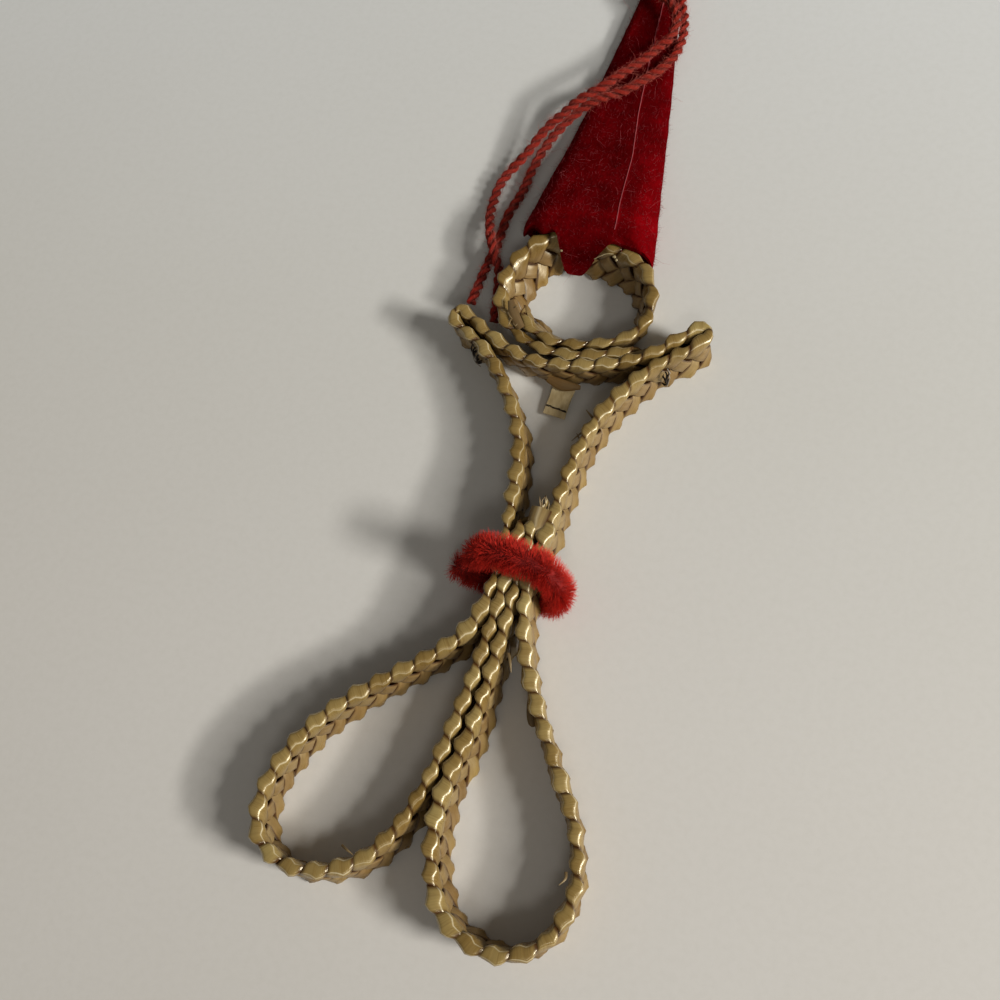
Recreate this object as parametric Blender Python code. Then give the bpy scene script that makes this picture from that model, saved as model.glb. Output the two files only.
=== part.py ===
"""A straw gnome ornament: a bent straw plait for its body, a plaited face, a felt hat.

The gnome lies as flat straw work does: every plait stands on edge, so its width runs up
from the table and its rim faces +Z. +Y runs from the toes to the tip of the hat. One
long plait makes both legs, both arms and the shoulders; a short one is rolled into the
open face, its ends lapped at the chin; the felt hat straddles the face, with a flap
down its inner side; a chenille stem ties the waist, and a loop of yarn hangs it.

Lengths below are in millimetres and become metres where a mesh is made.
"""

import math

import bmesh
import bpy
import numpy as np

MM = 0.001

# The middle of the object's outline, which becomes the origin
MIDDLE = (0.06, -0.98)

# Straw plait
PLAIT_WIDTH = 7.3
PITCH = 3.6  # along the plait, from one straw's fold to the next
STATION_STEP = 1.2  # a third of the pitch
STATION_TURN = math.radians(32)  # the most that the plait turns between two stations
FREE = 1.6  # thickness where a run stands alone
CLOSE = 1.4  # where two runs stand side by side
PRESSED = 1.25  # where runs are pressed together
RIM_SCALLOP = 0.045  # of the width
WALL_RELIEF = 0.10  # of the thickness

# The waist
WAIST_Y = -32.0
WAIST_LIFT = 1.5  # the chenille stem passes under the plaits
LIFT_FULL, LIFT_GONE = 3.5, 17.0  # from WAIST_Y, along Y

# Face
FACE_CENTRE = (2.2, 12.4)
FACE_FLARE = 2.6  # the rim is this much further out than the foot
CROWN_FROM_Y = 14.5

# Hat: a flat cone of felt. Shares run across it, from -1 at its left edge to 1.
HAT_TIP_Y = 80.0
HAT_MIDDLE_X = (1.35, 1.75)  # at the base and at the tip
HAT_HALF_WIDTHS = (10.6, 2.15)
HAT_PROFILE = (  # share of the way from the base to the tip, and the height there
    (0.0, 8.7),
    (0.1, 7.2),
    (0.2, 5.6),
    (0.3, 4.1),
    (0.4, 3.0),
    (0.52, 2.4),
    (0.75, 2.2),
    (1.0, 2.2),
)
HAT_FOLD = 0.45  # height of the side folds, of the hat's height
HAT_FLAT_SHARE = 0.6  # the middle of the underside lies flat
HAT_EDGE_SHARE = 0.985
HAT_SLICES = 17
FELT_THICKNESS = 1.0
# How far the felt reaches round the face's rim, by place across the hat: 0 is the top of
# the outer wall, 1 the rim's outer half, 2 its inner half, 3 the inner wall's top, 4 its foot.
HAT_REACH = (
    (-7.4, 0.0),
    (-5.8, 0.8),
    (-4.3, 1.5),
    (-3.0, 2.3),
    (-2.1, 3.8),
    (1.0, 3.85),
    (2.8, 3.3),
    (4.4, 2.7),
    (5.7, 1.7),
    (7.0, 0.8),
    (9.8, 0.6),
    (10.8, 0.0),
)
HAT_REACH_STEPS = 9
HAT_CORNER_Y = (23.2, 20.6)  # the base's corners: left and right
FIT_GAP = 0.5

# Chenille stem, yarn, tab and ties
CHENILLE_SIDES = 12
YARN_DIAMETER = 1.6
YARN_POINTS = 78
TAB_WIDTH, TAB_LENGTH, TAB_THICKNESS = 3.5, 4.7, 0.4

LEAN = (-0.7, 0.3)  # of a rim from its foot: the whole body leans a little
LEAN_SHOULDERS = (-0.5, -0.4)
LEAN_RIGHT_SHOULDER = (-0.4, 0.5)
LEAN_RIGHT_FOLD = (0.2, 1.5)

# The body's rim line: stretch, thickness, lean, and the points that it passes.
BODY_ROUTE = (
    ("first cut end", CLOSE, LEAN, ((4.9, -21.3), (4.8, -25.5))),
    ("waist, third run", PRESSED, LEAN, ((4.6, -30.0), (4.6, -34.0))),
    ("right leg, inner side", CLOSE, LEAN, ((4.5, -39.0), (4.2, -44.5), (3.8, -49.5))),
    ("right leg, instep", FREE, (-1.2, 0.3), ((3.2, -55.0), (2.2, -60.5), (1.8, -66.0))),
    ("right heel", FREE, (-1.3, -0.2), ((2.8, -72.5), (6.2, -78.5))),
    ("right sole", FREE, (-0.6, -0.6), ((13.4, -81.3),)),
    ("right toe", FREE, (0.1, -0.1), ((19.6, -78.5), (22.2, -71.5))),
    ("right leg, outer side", FREE, (0.2, 0.3), ((20.4, -63.5), (15.8, -56.0), (11.0, -48.0))),
    ("right leg, top", FREE, (-0.4, 0.3), ((7.9, -41.5),)),
    ("waist, fourth run", PRESSED, LEAN, ((6.6, -36.5), (6.2, -33.0), (6.3, -29.5))),
    (
        "right arm",
        FREE,
        LEAN,
        ((7.0, -25.0), (7.3, -18.5), (8.1, -12.0), (9.9, -6.0), (13.0, -0.6)),
    ),
    ("right shoulder, below", CLOSE, LEAN_RIGHT_SHOULDER, ((16.9, 4.0), (20.4, 6.7))),
    (
        "right shoulder, fold",
        PRESSED,
        LEAN_RIGHT_FOLD,
        ((22.2, 8.8), (22.6, 10.2), (21.6, 10.8), (20.2, 9.7)),
    ),
    ("right shoulder, above", CLOSE, LEAN_RIGHT_SHOULDER, ((18.4, 8.1), (15.6, 5.4))),
    (
        "shoulders",
        PRESSED,
        LEAN_SHOULDERS,
        ((11.9, 3.2), (7.6, 1.7), (2.6, 0.7), (-2.0, 0.6), (-6.0, 1.8)),
    ),
    ("left shoulder, above", PRESSED, LEAN, ((-10.0, 3.9),)),
    (
        "left shoulder, fold",
        PRESSED,
        LEAN,
        ((-13.5, 6.2), (-15.1, 6.7), (-15.9, 5.7), (-14.6, 4.2)),
    ),
    ("left shoulder, below", PRESSED, LEAN, ((-10.7, 1.9),)),
    (
        "left arm",
        FREE,
        LEAN,
        ((-7.4, -1.2), (-4.6, -5.0), (-2.0, -9.3), (-0.4, -14.0), (0.5, -20.0)),
    ),
    ("waist, first run", PRESSED, LEAN, ((1.2, -26.0), (1.4, -30.0), (1.4, -33.5))),
    (
        "left leg, outer side",
        FREE,
        LEAN,
        ((0.8, -38.0), (-0.8, -41.5), (-4.2, -45.2), (-11.3, -51.3), (-16.6, -56.6), (-20.5, -62.8)),
    ),
    (
        "left toe",
        FREE,
        LEAN,
        ((-22.4, -69.2), (-21.3, -74.6), (-17.0, -77.4), (-12.0, -77.2), (-6.6, -74.5), (-3.2, -69.8)),
    ),
    (
        "left leg, inner side",
        CLOSE,
        LEAN,
        ((-0.9, -63.5), (0.4, -57.5), (1.4, -50.8), (2.1, -45.0), (2.7, -39.0)),
    ),
    ("waist, second run", PRESSED, LEAN, ((3.0, -34.0), (3.0, -30.0))),
    ("second cut end", CLOSE, LEAN, ((3.05, -26.0), (3.1, -23.2))),
)

# The face's rim line, from its inner end round the crown to its outer end.
FACE_ROUTE = (
    (
        "chin, inner row",
        PRESSED,
        ((-6.8, 9.4), (-4.4, 6.4), (-1.0, 4.5), (3.0, 4.2), (7.0, 5.0), (10.6, 6.6)),
    ),
    ("right cheek", FREE, ((12.9, 9.2), (13.4, 12.9), (12.3, 16.8))),
    ("crown", FREE, ((9.7, 19.9), (6.2, 21.4), (1.7, 22.4), (-1.8, 22.5), (-5.0, 21.6), (-7.6, 19.3))),
    ("left cheek", FREE, ((-9.4, 15.6), (-10.0, 11.6), (-8.9, 7.9))),
    (
        "chin, outer row",
        PRESSED,
        ((-6.0, 4.7), (-1.7, 2.8), (2.9, 2.4), (7.4, 3.2), (11.6, 4.6), (14.0, 5.9)),
    ),
)

# Chenille stem: middle, half width along Y, half thickness across.
CHENILLE_ROUTE = (
    ((-5.6, -31.8, 3.2), 2.6, 2.6),
    ((-3.6, -31.7, 2.9), 2.8, 2.6),
    ((-1.8, -31.7, 1.9), 2.9, 1.6),
    ((0.0, -31.9, 0.85), 3.0, 0.75),
    ((1.6, -32.1, 0.62), 3.0, 0.56),
    ((4.0, -32.4, 0.60), 3.0, 0.56),
    ((6.4, -32.8, 0.62), 3.0, 0.56),
    ((8.2, -33.1, 1.0), 3.0, 0.85),
    ((9.9, -33.3, 2.9), 2.9, 2.0),
    ((10.7, -33.1, 5.6), 2.9, 2.4),
    ((10.3, -32.4, 8.6), 2.9, 2.3),
    ((8.8, -31.6, 10.8), 2.9, 2.0),
    ((6.4, -31.0, 11.5), 2.9, 1.9),
    ((3.8, -30.7, 11.6), 2.9, 1.9),
    ((1.2, -30.5, 11.3), 2.9, 2.0),
    ((-0.9, -30.6, 10.2), 2.8, 2.1),
    ((-2.4, -30.8, 8.4), 2.7, 2.1),
)

# Yarn: from the left shoulder, up over the hat, round its eye, and back beside itself.
YARN_ROUTE = (
    (-14.3, 9.3, 4.0),
    (-14.2, 13.4, 3.0),
    (-14.0, 17.6, 2.2),
    (-13.6, 21.2, 1.6),
    (-13.4, 26.7, 1.25),
    (-12.2, 31.2, 1.25),
    (-11.4, 36.6, 1.35),
    (-10.0, 41.1, 1.7),
    (-8.1, 44.3, 2.5),
    (-5.6, 46.8, 3.7),
    (-2.8, 48.9, 4.3),
    (0.4, 50.8, 4.1),
    (2.8, 53.4, 3.8),
    (5.1, 56.1, 3.5),
    (6.6, 58.9, 3.2),
    (7.1, 62.7, 2.7),
    (6.7, 66.6, 2.7),
    (5.6, 69.7, 3.0),
    (5.1, 72.8, 3.2),
    (4.5, 75.9, 3.3),
    (2.4, 78.3, 3.5),
    (-0.9, 78.0, 3.2),
    (-2.7, 75.1, 1.8),
    (-2.2, 72.4, 2.6),
    (-0.1, 70.9, 3.8),
    (2.4, 69.3, 4.5),
    (4.5, 67.6, 4.9),
    (5.9, 64.7, 4.9),
    (5.6, 61.3, 4.9),
    (4.0, 58.8, 5.1),
    (2.0, 55.7, 5.4),
    (-0.6, 52.5, 5.8),
    (-2.7, 49.6, 6.2),
    (-5.8, 47.2, 5.6),
    (-8.3, 44.7, 4.5),
    (-10.7, 42.1, 3.45),
    (-12.6, 38.3, 2.7),
    (-14.4, 35.5, 1.9),
    (-16.0, 32.2, 1.5),
    (-16.3, 27.7, 1.5),
    (-15.1, 23.0, 3.2),
    (-13.1, 18.5, 4.1),
    (-11.7, 15.9, 3.4),
    (-11.2, 12.9, 2.6),
    (-10.5, 7.7, 2.0),
)

TAB_PLACE = (2.55, -3.05, 1.15)
TAB_TURN = math.radians(-7)
TAB_SLOPE = math.radians(7)

TIE_SIZE = (0.9, 0.6, 1.5)  # half extents along the plait, across it, and up
TIES = {
    "shoulder_tie_left": ((-10.9, 0.0, 4.4), math.radians(-43)),
    "shoulder_tie_right": ((17.85, 2.5, 4.4), math.radians(38)),
}

STRAW = ((0.72, 0.58, 0.30), 0.38)
FELT = ((0.33, 0.012, 0.016), 0.95)
CHENILLE_RED = ((0.45, 0.02, 0.015), 0.9)
YARN_RED = ((0.48, 0.05, 0.03), 0.9)
PAPER = ((0.70, 0.60, 0.38), 0.7)
DARK_THREAD = ((0.05, 0.045, 0.04), 0.5)


def clear_scene():
    for obj in list(bpy.data.objects):
        bpy.data.objects.remove(obj, do_unlink=True)


def placed(place):
    """Where a place on the routes lies in the object's own frame, in metres."""
    return [(place[0] - MIDDLE[0]) * MM, (place[1] - MIDDLE[1]) * MM, place[2] * MM]


def material(name, look):
    colour, roughness = look
    made = bpy.data.materials.new(name)
    made.use_nodes = True
    shader = made.node_tree.nodes["Principled BSDF"]
    shader.inputs["Base Color"].default_value = (*colour, 1.0)
    shader.inputs["Roughness"].default_value = roughness
    return made


def add_object(name, data, look):
    obj = bpy.data.objects.new(name, data)
    obj.data.materials.append(material(name, look))
    bpy.context.collection.objects.link(obj)
    obj.location = placed((0.0, 0.0, 0.0))
    return obj


def mesh_from(name, points, faces, look, smooth=True):
    """An object from points in millimetres and faces, its normals facing out."""
    mesh = bpy.data.meshes.new(name)
    shape = bmesh.new()
    corners = [shape.verts.new([value * MM for value in point]) for point in points]
    for face in faces:
        shape.faces.new([corners[i] for i in face])
    bmesh.ops.recalc_face_normals(shape, faces=shape.faces)
    shape.to_mesh(mesh)
    shape.free()
    if smooth:
        mesh.shade_smooth()
        mesh.set_sharp_from_angle(angle=math.radians(50))
    return add_object(name, mesh, look)


def tube_faces(rings, sides):
    """Faces that join rings of points one after another, with a cap at each end."""
    faces = []
    for ring in range(rings - 1):
        for side in range(sides):
            after = (side + 1) % sides
            low, high = ring * sides, (ring + 1) * sides
            faces.append((low + side, low + after, high + after, high + side))
    faces.append(tuple(range(sides)))
    faces.append(tuple((rings - 1) * sides + side for side in range(sides)))
    return faces


def smooth_line(points, step):
    """A centripetal Catmull-Rom curve through rows of numbers, the place first."""
    points = np.array(points, float)
    before, after = 2 * points[0] - points[1], 2 * points[-1] - points[-2]
    padded = np.vstack([before, points, after])
    rows = []
    for i in range(len(points) - 1):
        p0, p1, p2, p3 = padded[i : i + 4]
        gaps = [np.linalg.norm((b - a)[:2]) ** 0.5 for a, b in ((p0, p1), (p1, p2), (p2, p3))]
        t0, t1 = 0.0, gaps[0]
        t2 = t1 + gaps[1]
        t3 = t2 + gaps[2]
        count = max(2, math.ceil(np.linalg.norm((p2 - p1)[:2]) / step))
        for t in np.linspace(t1, t2, count, endpoint=False):
            a1 = ((t1 - t) * p0 + (t - t0) * p1) / (t1 - t0)
            a2 = ((t2 - t) * p1 + (t - t1) * p2) / (t2 - t1)
            a3 = ((t3 - t) * p2 + (t - t2) * p3) / (t3 - t2)
            b1 = ((t2 - t) * a1 + (t - t0) * a2) / (t2 - t0)
            b2 = ((t3 - t) * a2 + (t - t1) * a3) / (t3 - t1)
            rows.append(((t2 - t) * b1 + (t - t1) * b2) / (t2 - t1))
    rows.append(points[-1])
    return np.array(rows)


def waist_lift(y):
    """How far the chenille stem lifts the plaits off the table."""
    away = (abs(y - WAIST_Y) - LIFT_FULL) / (LIFT_GONE - LIFT_FULL)
    away = min(max(away, 0.0), 1.0)
    return WAIST_LIFT * (1 - away * away * (3 - 2 * away))


def stations(line):
    """Rows of a fine line to build on: closer together where it turns."""
    chosen, length, turn = [0], 0.0, 0.0
    steps = np.diff(line[:, :2], axis=0)
    heading = np.unwrap(np.arctan2(steps[:, 1], steps[:, 0]))
    for i in range(1, len(line) - 1):
        length += np.linalg.norm(steps[i - 1])
        turn += abs(heading[i] - heading[i - 1])
        if length >= STATION_STEP or turn >= STATION_TURN:
            chosen.append(i)
            length, turn = 0.0, 0.0
    if length < STATION_STEP / 2:
        chosen.pop()
    chosen.append(len(line) - 1)
    return chosen


def plait_section(along, thickness):
    """(across, up) of the section's eight points, up measured from mid width."""
    wave = abs(math.sin(math.pi * along / PITCH))
    rim = PLAIT_WIDTH / 2 * (1 - RIM_SCALLOP * (1 - wave))
    edge = thickness / 2 * (1 - WALL_RELIEF * (1 - wave))
    middle = thickness / 2 * (1 - WALL_RELIEF * wave)
    quarter = PLAIT_WIDTH * 0.30
    return (
        (0.0, rim),
        (-edge, quarter),
        (-middle, 0.0),
        (-edge, -quarter),
        (0.0, -PLAIT_WIDTH / 2),
        (edge, -quarter),
        (middle, 0.0),
        (edge, quarter),
    )


def plait(name, rows, lifted):
    """A plait on edge. Rows are rim x, y, thickness, and the rim's lean in x and y."""
    line = smooth_line(rows, 0.15)
    run = np.linalg.norm(np.diff(line[:, :2], axis=0), axis=1)
    along = np.concatenate([[0.0], np.cumsum(run)])
    picked = stations(line)
    points = []
    for i in picked:
        low, high = max(i - 2, 0), min(i + 2, len(line) - 1)
        ahead = line[high, :2] - line[low, :2]
        ahead /= np.linalg.norm(ahead)
        across = np.array([-ahead[1], ahead[0], 0.0])
        lean = line[i, 3:5]
        up = np.array([*lean, math.sqrt(PLAIT_WIDTH**2 - lean @ lean)]) / PLAIT_WIDTH
        lift = waist_lift(line[i, 1]) if lifted else 0.0
        foot = np.array([*(line[i, :2] - lean), lift])
        middle = foot + up * PLAIT_WIDTH / 2
        for a, b in plait_section(along[i], line[i, 2]):
            points.append(middle + across * a + up * b)
    return mesh_from(name, points, tube_faces(len(picked), 8), STRAW)


def add_body():
    rows = []
    for _, thickness, lean, places in BODY_ROUTE:
        rows += [(*place, thickness, *lean) for place in places]
    plait("body_plait", rows, lifted=True)


def face_lean(place):
    """The face flares: its rim stands further from its middle than its foot does."""
    out = np.array(place) - FACE_CENTRE
    return np.array(LEAN) + FACE_FLARE * out / np.linalg.norm(out)


def add_face():
    rows = []
    for _, thickness, places in FACE_ROUTE:
        rows += [(*place, thickness, *face_lean(place)) for place in places]
    plait("face_ring", rows, lifted=False)


def crown_wall(side, top):
    """Plan line of a wall of the face's crown at its rim or foot: 1 is the outer wall."""
    rim = smooth_line([place for _, _, places in FACE_ROUTE for place in places], 1.0)
    rim = rim[rim[:, 1] > CROWN_FROM_Y][::-1]
    ahead = np.gradient(rim, axis=0)
    ahead /= np.linalg.norm(ahead, axis=1)[:, None]
    outwards = np.stack([-ahead[:, 1], ahead[:, 0]], axis=1)
    line = rim if top else rim - np.array([face_lean(place) for place in rim])
    return line + side * outwards * (FREE / 2 + FIT_GAP)


def hat_slice(share, walls):
    """The hat's outline at one place across it, as a closed loop of points."""
    bend = max(0.0, (abs(share) - HAT_FLAT_SHARE) / (1 - HAT_FLAT_SHARE))
    round_off = math.sqrt(1 - bend * bend)
    x, tip_x = (m + h * share for m, h in zip(HAT_MIDDLE_X, HAT_HALF_WIDTHS))
    top_share = HAT_FOLD + (1 - HAT_FOLD) * round_off
    foot_share = HAT_FOLD * (1 - round_off)
    top, foot = (HAT_PROFILE[0][1] * height_share for height_share in (top_share, foot_share))

    def wall(side, z):
        low, high = (np.interp(x, *walls[side, top].T) for top in (False, True))
        return low + (high - low) * z / PLAIT_WIDTH

    def ruling(part, y, height_share):
        height = np.interp(part, *zip(*HAT_PROFILE))
        return (x + (tip_x - x) * part, y + (HAT_TIP_Y - y) * part, height * height_share)

    def outer(z):
        return max(wall(1, z), HAT_CORNER_Y[int(x > FACE_CENTRE[0])])

    rim = (wall(1, PLAIT_WIDTH) + wall(-1, PLAIT_WIDTH)) / 2
    over = PLAIT_WIDTH + FIT_GAP
    high = PLAIT_WIDTH - 0.5
    shoulder = min(high, top - FELT_THICKNESS)
    crest_y = outer(shoulder) + 0.1
    halfway = (foot + shoulder) / 2
    under = [
        (x, outer(halfway), halfway),
        (x, outer(shoulder), shoulder),
        (x, rim + 0.4, min(over, top - FELT_THICKNESS)),
        (x, rim - 0.4, over),
        (x, wall(-1, high), high),
        (x, wall(-1, 0.5), 0.5),
    ]
    upper = [
        ruling(0.04, crest_y, top_share),
        (x, crest_y, top),
        (x, rim + 0.4, top),
        (x, rim - 0.5, over + FELT_THICKNESS),
        (x, wall(-1, high) - FELT_THICKNESS, high),
        (x, wall(-1, 0.5) - FELT_THICKNESS, 0.5),
    ]
    places = np.linspace(-1, np.interp(x, *np.array(HAT_REACH).T), HAT_REACH_STEPS)
    lip = [
        [tuple(np.interp(place, range(-1, 5), axis) for axis in zip(*side)) for place in places]
        for side in (under, upper)
    ]
    parts = [part for part, _ in HAT_PROFILE]
    loop = [ruling(part, outer(foot), foot_share) for part in parts[::-1]]
    loop += lip[0] + lip[1][::-1]
    loop += [ruling(part, crest_y, top_share) for part in parts[1:]]
    return loop


def add_hat():
    """Slices from the left fold to the right: each runs from the tip to the face and back."""
    walls = {(side, top): crown_wall(side, top) for side in (1, -1) for top in (False, True)}
    points = []
    for share in np.linspace(-HAT_EDGE_SHARE, HAT_EDGE_SHARE, HAT_SLICES):
        points += hat_slice(share, walls)
    sides = len(points) // HAT_SLICES
    faces = tube_faces(HAT_SLICES, sides)[:-2]
    # a slice's points pair up across the felt, so each end closes as a strip
    for first in (0, (HAT_SLICES - 1) * sides):
        for i in range(sides // 2):
            strip = (i, i + 1, sides - 2 - i, sides - 1 - i)
            faces.append(tuple(first + k for k in dict.fromkeys(strip)))
    mesh_from("hat", points, faces, FELT)


def add_chenille():
    """The stem's pile as a soft tube, pressed flat where it runs under the waist."""
    rows = [(place[0], place[2], place[1], wide, thick) for place, wide, thick in CHENILLE_ROUTE]
    line = smooth_line(rows, 1.3)
    points = []
    for i, (x, z, y, wide, thick) in enumerate(line):
        low, high = line[max(i - 1, 0)], line[min(i + 1, len(line) - 1)]
        ahead = (high - low)[:2] / np.linalg.norm((high - low)[:2])
        for side in range(CHENILLE_SIDES):
            angle = 2 * math.pi * side / CHENILLE_SIDES
            out = thick * math.cos(angle)
            points.append((x - ahead[1] * out, y + wide * math.sin(angle), z + ahead[0] * out))
    faces = tube_faces(len(line), CHENILLE_SIDES)
    mesh_from("waist_chenille", points, faces, CHENILLE_RED)


def add_yarn():
    """The hanging loop, a round cord on evenly spaced points of its smooth route."""
    fine = smooth_line(YARN_ROUTE, 0.1)
    run = np.linalg.norm(np.diff(fine, axis=0), axis=1)
    along = np.concatenate([[0.0], np.cumsum(run)])
    even = np.linspace(0.0, along[-1], YARN_POINTS)
    line = np.stack([np.interp(even, along, fine[:, k]) for k in range(3)], axis=1)
    curve = bpy.data.curves.new("hanging_yarn", "CURVE")
    curve.dimensions = "3D"
    curve.bevel_depth = YARN_DIAMETER / 2 * MM
    curve.bevel_resolution = 2
    curve.use_fill_caps = True
    spline = curve.splines.new("POLY")
    spline.points.add(len(line) - 1)
    for point, place in zip(spline.points, line):
        point.co = (*(place * MM), 1.0)
    add_object("hanging_yarn", curve, YARN_RED)


def add_tab():
    """A small flat strip under the shoulders, its long sides a little hollow."""
    rows, columns = 6, 2
    points = []
    for level in (-0.5, 0.5):
        for row in range(rows + 1):
            share = row / rows
            waist = 1 - 0.05 * math.sin(math.pi * share)
            for column in range(columns + 1):
                x = TAB_WIDTH * waist * (column / columns - 0.5)
                y = TAB_LENGTH * (share - 0.5)
                points.append((x, y, level * TAB_THICKNESS + 0.12 * math.sin(math.pi * share)))
    wide = columns + 1
    count = wide * (rows + 1)
    faces = []
    for row in range(rows):
        for column in range(columns):
            a = row * wide + column
            quad = (a, a + 1, a + wide + 1, a + wide)
            faces += [quad, tuple(i + count for i in quad)]
        for a in (row * wide, row * wide + columns):
            faces.append((a, a + wide, a + wide + count, a + count))
    for column in range(columns):
        for a in (column, rows * wide + column):
            faces.append((a, a + 1, a + 1 + count, a + count))
    tab = mesh_from("shoulder_tab", points, faces, PAPER)
    tab.location = placed(TAB_PLACE)
    tab.rotation_euler = (TAB_SLOPE, 0.0, TAB_TURN)


def add_tie(name, place, turn):
    """A small knot of dark thread that holds a shoulder's fold together."""
    mesh = bpy.data.meshes.new(name)
    shape = bmesh.new()
    bmesh.ops.create_uvsphere(shape, u_segments=8, v_segments=6, radius=1.0)
    for corner in shape.verts:
        for axis in range(3):
            corner.co[axis] *= TIE_SIZE[axis] * MM
    shape.to_mesh(mesh)
    shape.free()
    mesh.shade_smooth()
    tie = add_object(name, mesh, DARK_THREAD)
    tie.location = placed(place)
    tie.rotation_euler = (0.0, 0.0, turn)


def main():
    clear_scene()
    add_body()
    add_face()
    add_hat()
    add_chenille()
    add_yarn()
    add_tab()
    for name, (place, turn) in TIES.items():
        add_tie(name, place, turn)


main()
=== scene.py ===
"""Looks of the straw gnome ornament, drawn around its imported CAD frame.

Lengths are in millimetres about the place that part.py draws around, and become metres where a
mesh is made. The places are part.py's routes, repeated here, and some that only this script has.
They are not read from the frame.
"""

import math
import random

import bpy
import numpy as np
from mathutils import Matrix, Vector, noise


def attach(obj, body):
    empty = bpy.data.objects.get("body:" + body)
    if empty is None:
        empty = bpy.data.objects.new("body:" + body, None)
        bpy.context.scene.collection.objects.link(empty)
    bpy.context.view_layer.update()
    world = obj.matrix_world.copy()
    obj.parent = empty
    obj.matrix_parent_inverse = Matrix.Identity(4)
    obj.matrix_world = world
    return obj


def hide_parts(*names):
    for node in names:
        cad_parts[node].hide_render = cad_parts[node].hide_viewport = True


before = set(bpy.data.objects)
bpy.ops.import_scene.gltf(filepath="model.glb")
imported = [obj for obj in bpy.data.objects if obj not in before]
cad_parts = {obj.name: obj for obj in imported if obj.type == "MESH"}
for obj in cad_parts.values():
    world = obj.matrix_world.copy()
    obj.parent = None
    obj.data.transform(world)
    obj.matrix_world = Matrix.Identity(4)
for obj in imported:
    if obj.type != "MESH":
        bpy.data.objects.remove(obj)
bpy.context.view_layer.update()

MM = 0.001
MIDDLE = np.array([0.06, -0.98, 0.0])  # the CAD's routes are drawn about this place

# ---------------------------------------------------------------- routes, repeated from part.py

PLAIT_WIDTH = 7.3
PITCH = 3.5  # part.py has 3.6
FREE, CLOSE, PRESSED = 1.6, 1.4, 1.25
WAIST_Y = -32.0
WAIST_LIFT = 1.5
LIFT_FULL, LIFT_GONE = 3.5, 17.0
FACE_CENTRE = (2.2, 12.4)
FACE_FLARE = 2.6
LEAN = (-0.7, 0.3)
LEAN_SHOULDERS = (-0.5, -0.4)
LEAN_RIGHT_SHOULDER = (-0.4, 0.5)
LEAN_RIGHT_FOLD = (0.2, 1.5)

BODY_ROUTE = (
    (CLOSE, LEAN, ((4.9, -21.3), (4.8, -25.5))),
    (PRESSED, LEAN, ((4.6, -30.0), (4.6, -34.0))),
    (CLOSE, LEAN, ((4.5, -39.0), (4.2, -44.5), (3.8, -49.5))),
    (FREE, (-1.2, 0.3), ((3.2, -55.0), (2.2, -60.5), (1.8, -66.0))),
    (FREE, (-1.3, -0.2), ((2.8, -72.5), (6.2, -78.5))),
    (FREE, (-0.6, -0.6), ((13.4, -81.3),)),
    (FREE, (0.1, -0.1), ((19.6, -78.5), (22.2, -71.5))),
    (FREE, (0.2, 0.3), ((20.4, -63.5), (15.8, -56.0), (11.0, -48.0))),
    (FREE, (-0.4, 0.3), ((7.9, -41.5),)),
    (PRESSED, LEAN, ((6.6, -36.5), (6.2, -33.0), (6.3, -29.5))),
    (FREE, LEAN, ((7.0, -25.0), (7.3, -18.5), (8.1, -12.0), (9.9, -6.0), (13.0, -0.6))),
    (CLOSE, LEAN_RIGHT_SHOULDER, ((16.9, 4.0), (20.4, 6.7))),
    (PRESSED, LEAN_RIGHT_FOLD, ((22.2, 8.8), (22.6, 10.2), (21.6, 10.8), (20.2, 9.7))),
    (CLOSE, LEAN_RIGHT_SHOULDER, ((18.4, 8.1), (15.6, 5.4))),
    (PRESSED, LEAN_SHOULDERS, ((11.9, 3.2), (7.6, 1.7), (2.6, 0.7), (-2.0, 0.6), (-6.0, 1.8))),
    (PRESSED, LEAN, ((-10.0, 3.9),)),
    (PRESSED, LEAN, ((-13.5, 6.2), (-15.1, 6.7), (-15.9, 5.7), (-14.6, 4.2))),
    (PRESSED, LEAN, ((-10.7, 1.9),)),
    (FREE, LEAN, ((-7.4, -1.2), (-4.6, -5.0), (-2.0, -9.3), (-0.4, -14.0), (0.5, -20.0))),
    (PRESSED, LEAN, ((1.2, -26.0), (1.4, -30.0), (1.4, -33.5))),
    (FREE, LEAN, ((0.8, -38.0), (-0.8, -41.5), (-4.2, -45.2), (-11.3, -51.3), (-16.6, -56.6))),
    (FREE, LEAN, ((-20.5, -62.8), (-22.4, -69.2), (-21.3, -74.6), (-17.0, -77.4))),
    (FREE, LEAN, ((-12.0, -77.2), (-6.6, -74.5), (-3.2, -69.8))),
    (CLOSE, LEAN, ((-0.9, -63.5), (0.4, -57.5), (1.4, -50.8), (2.1, -45.0), (2.7, -39.0))),
    (PRESSED, LEAN, ((3.0, -34.0), (3.0, -30.0))),
    (CLOSE, LEAN, ((3.05, -26.0), (3.1, -23.2))),
)

FACE_ROUTE = (
    (PRESSED, ((-6.8, 9.4), (-4.4, 6.4), (-1.0, 4.5), (3.0, 4.2), (7.0, 5.0), (10.6, 6.6))),
    (FREE, ((12.9, 9.2), (13.4, 12.9), (12.3, 16.8))),
    (FREE, ((9.7, 19.9), (6.2, 21.4), (1.7, 22.4), (-1.8, 22.5), (-5.0, 21.6), (-7.6, 19.3))),
    (FREE, ((-9.4, 15.6), (-10.0, 11.6), (-8.9, 7.9))),
    (PRESSED, ((-6.0, 4.7), (-1.7, 2.8), (2.9, 2.4), (7.4, 3.2), (11.6, 4.6), (14.0, 5.9))),
)

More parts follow.
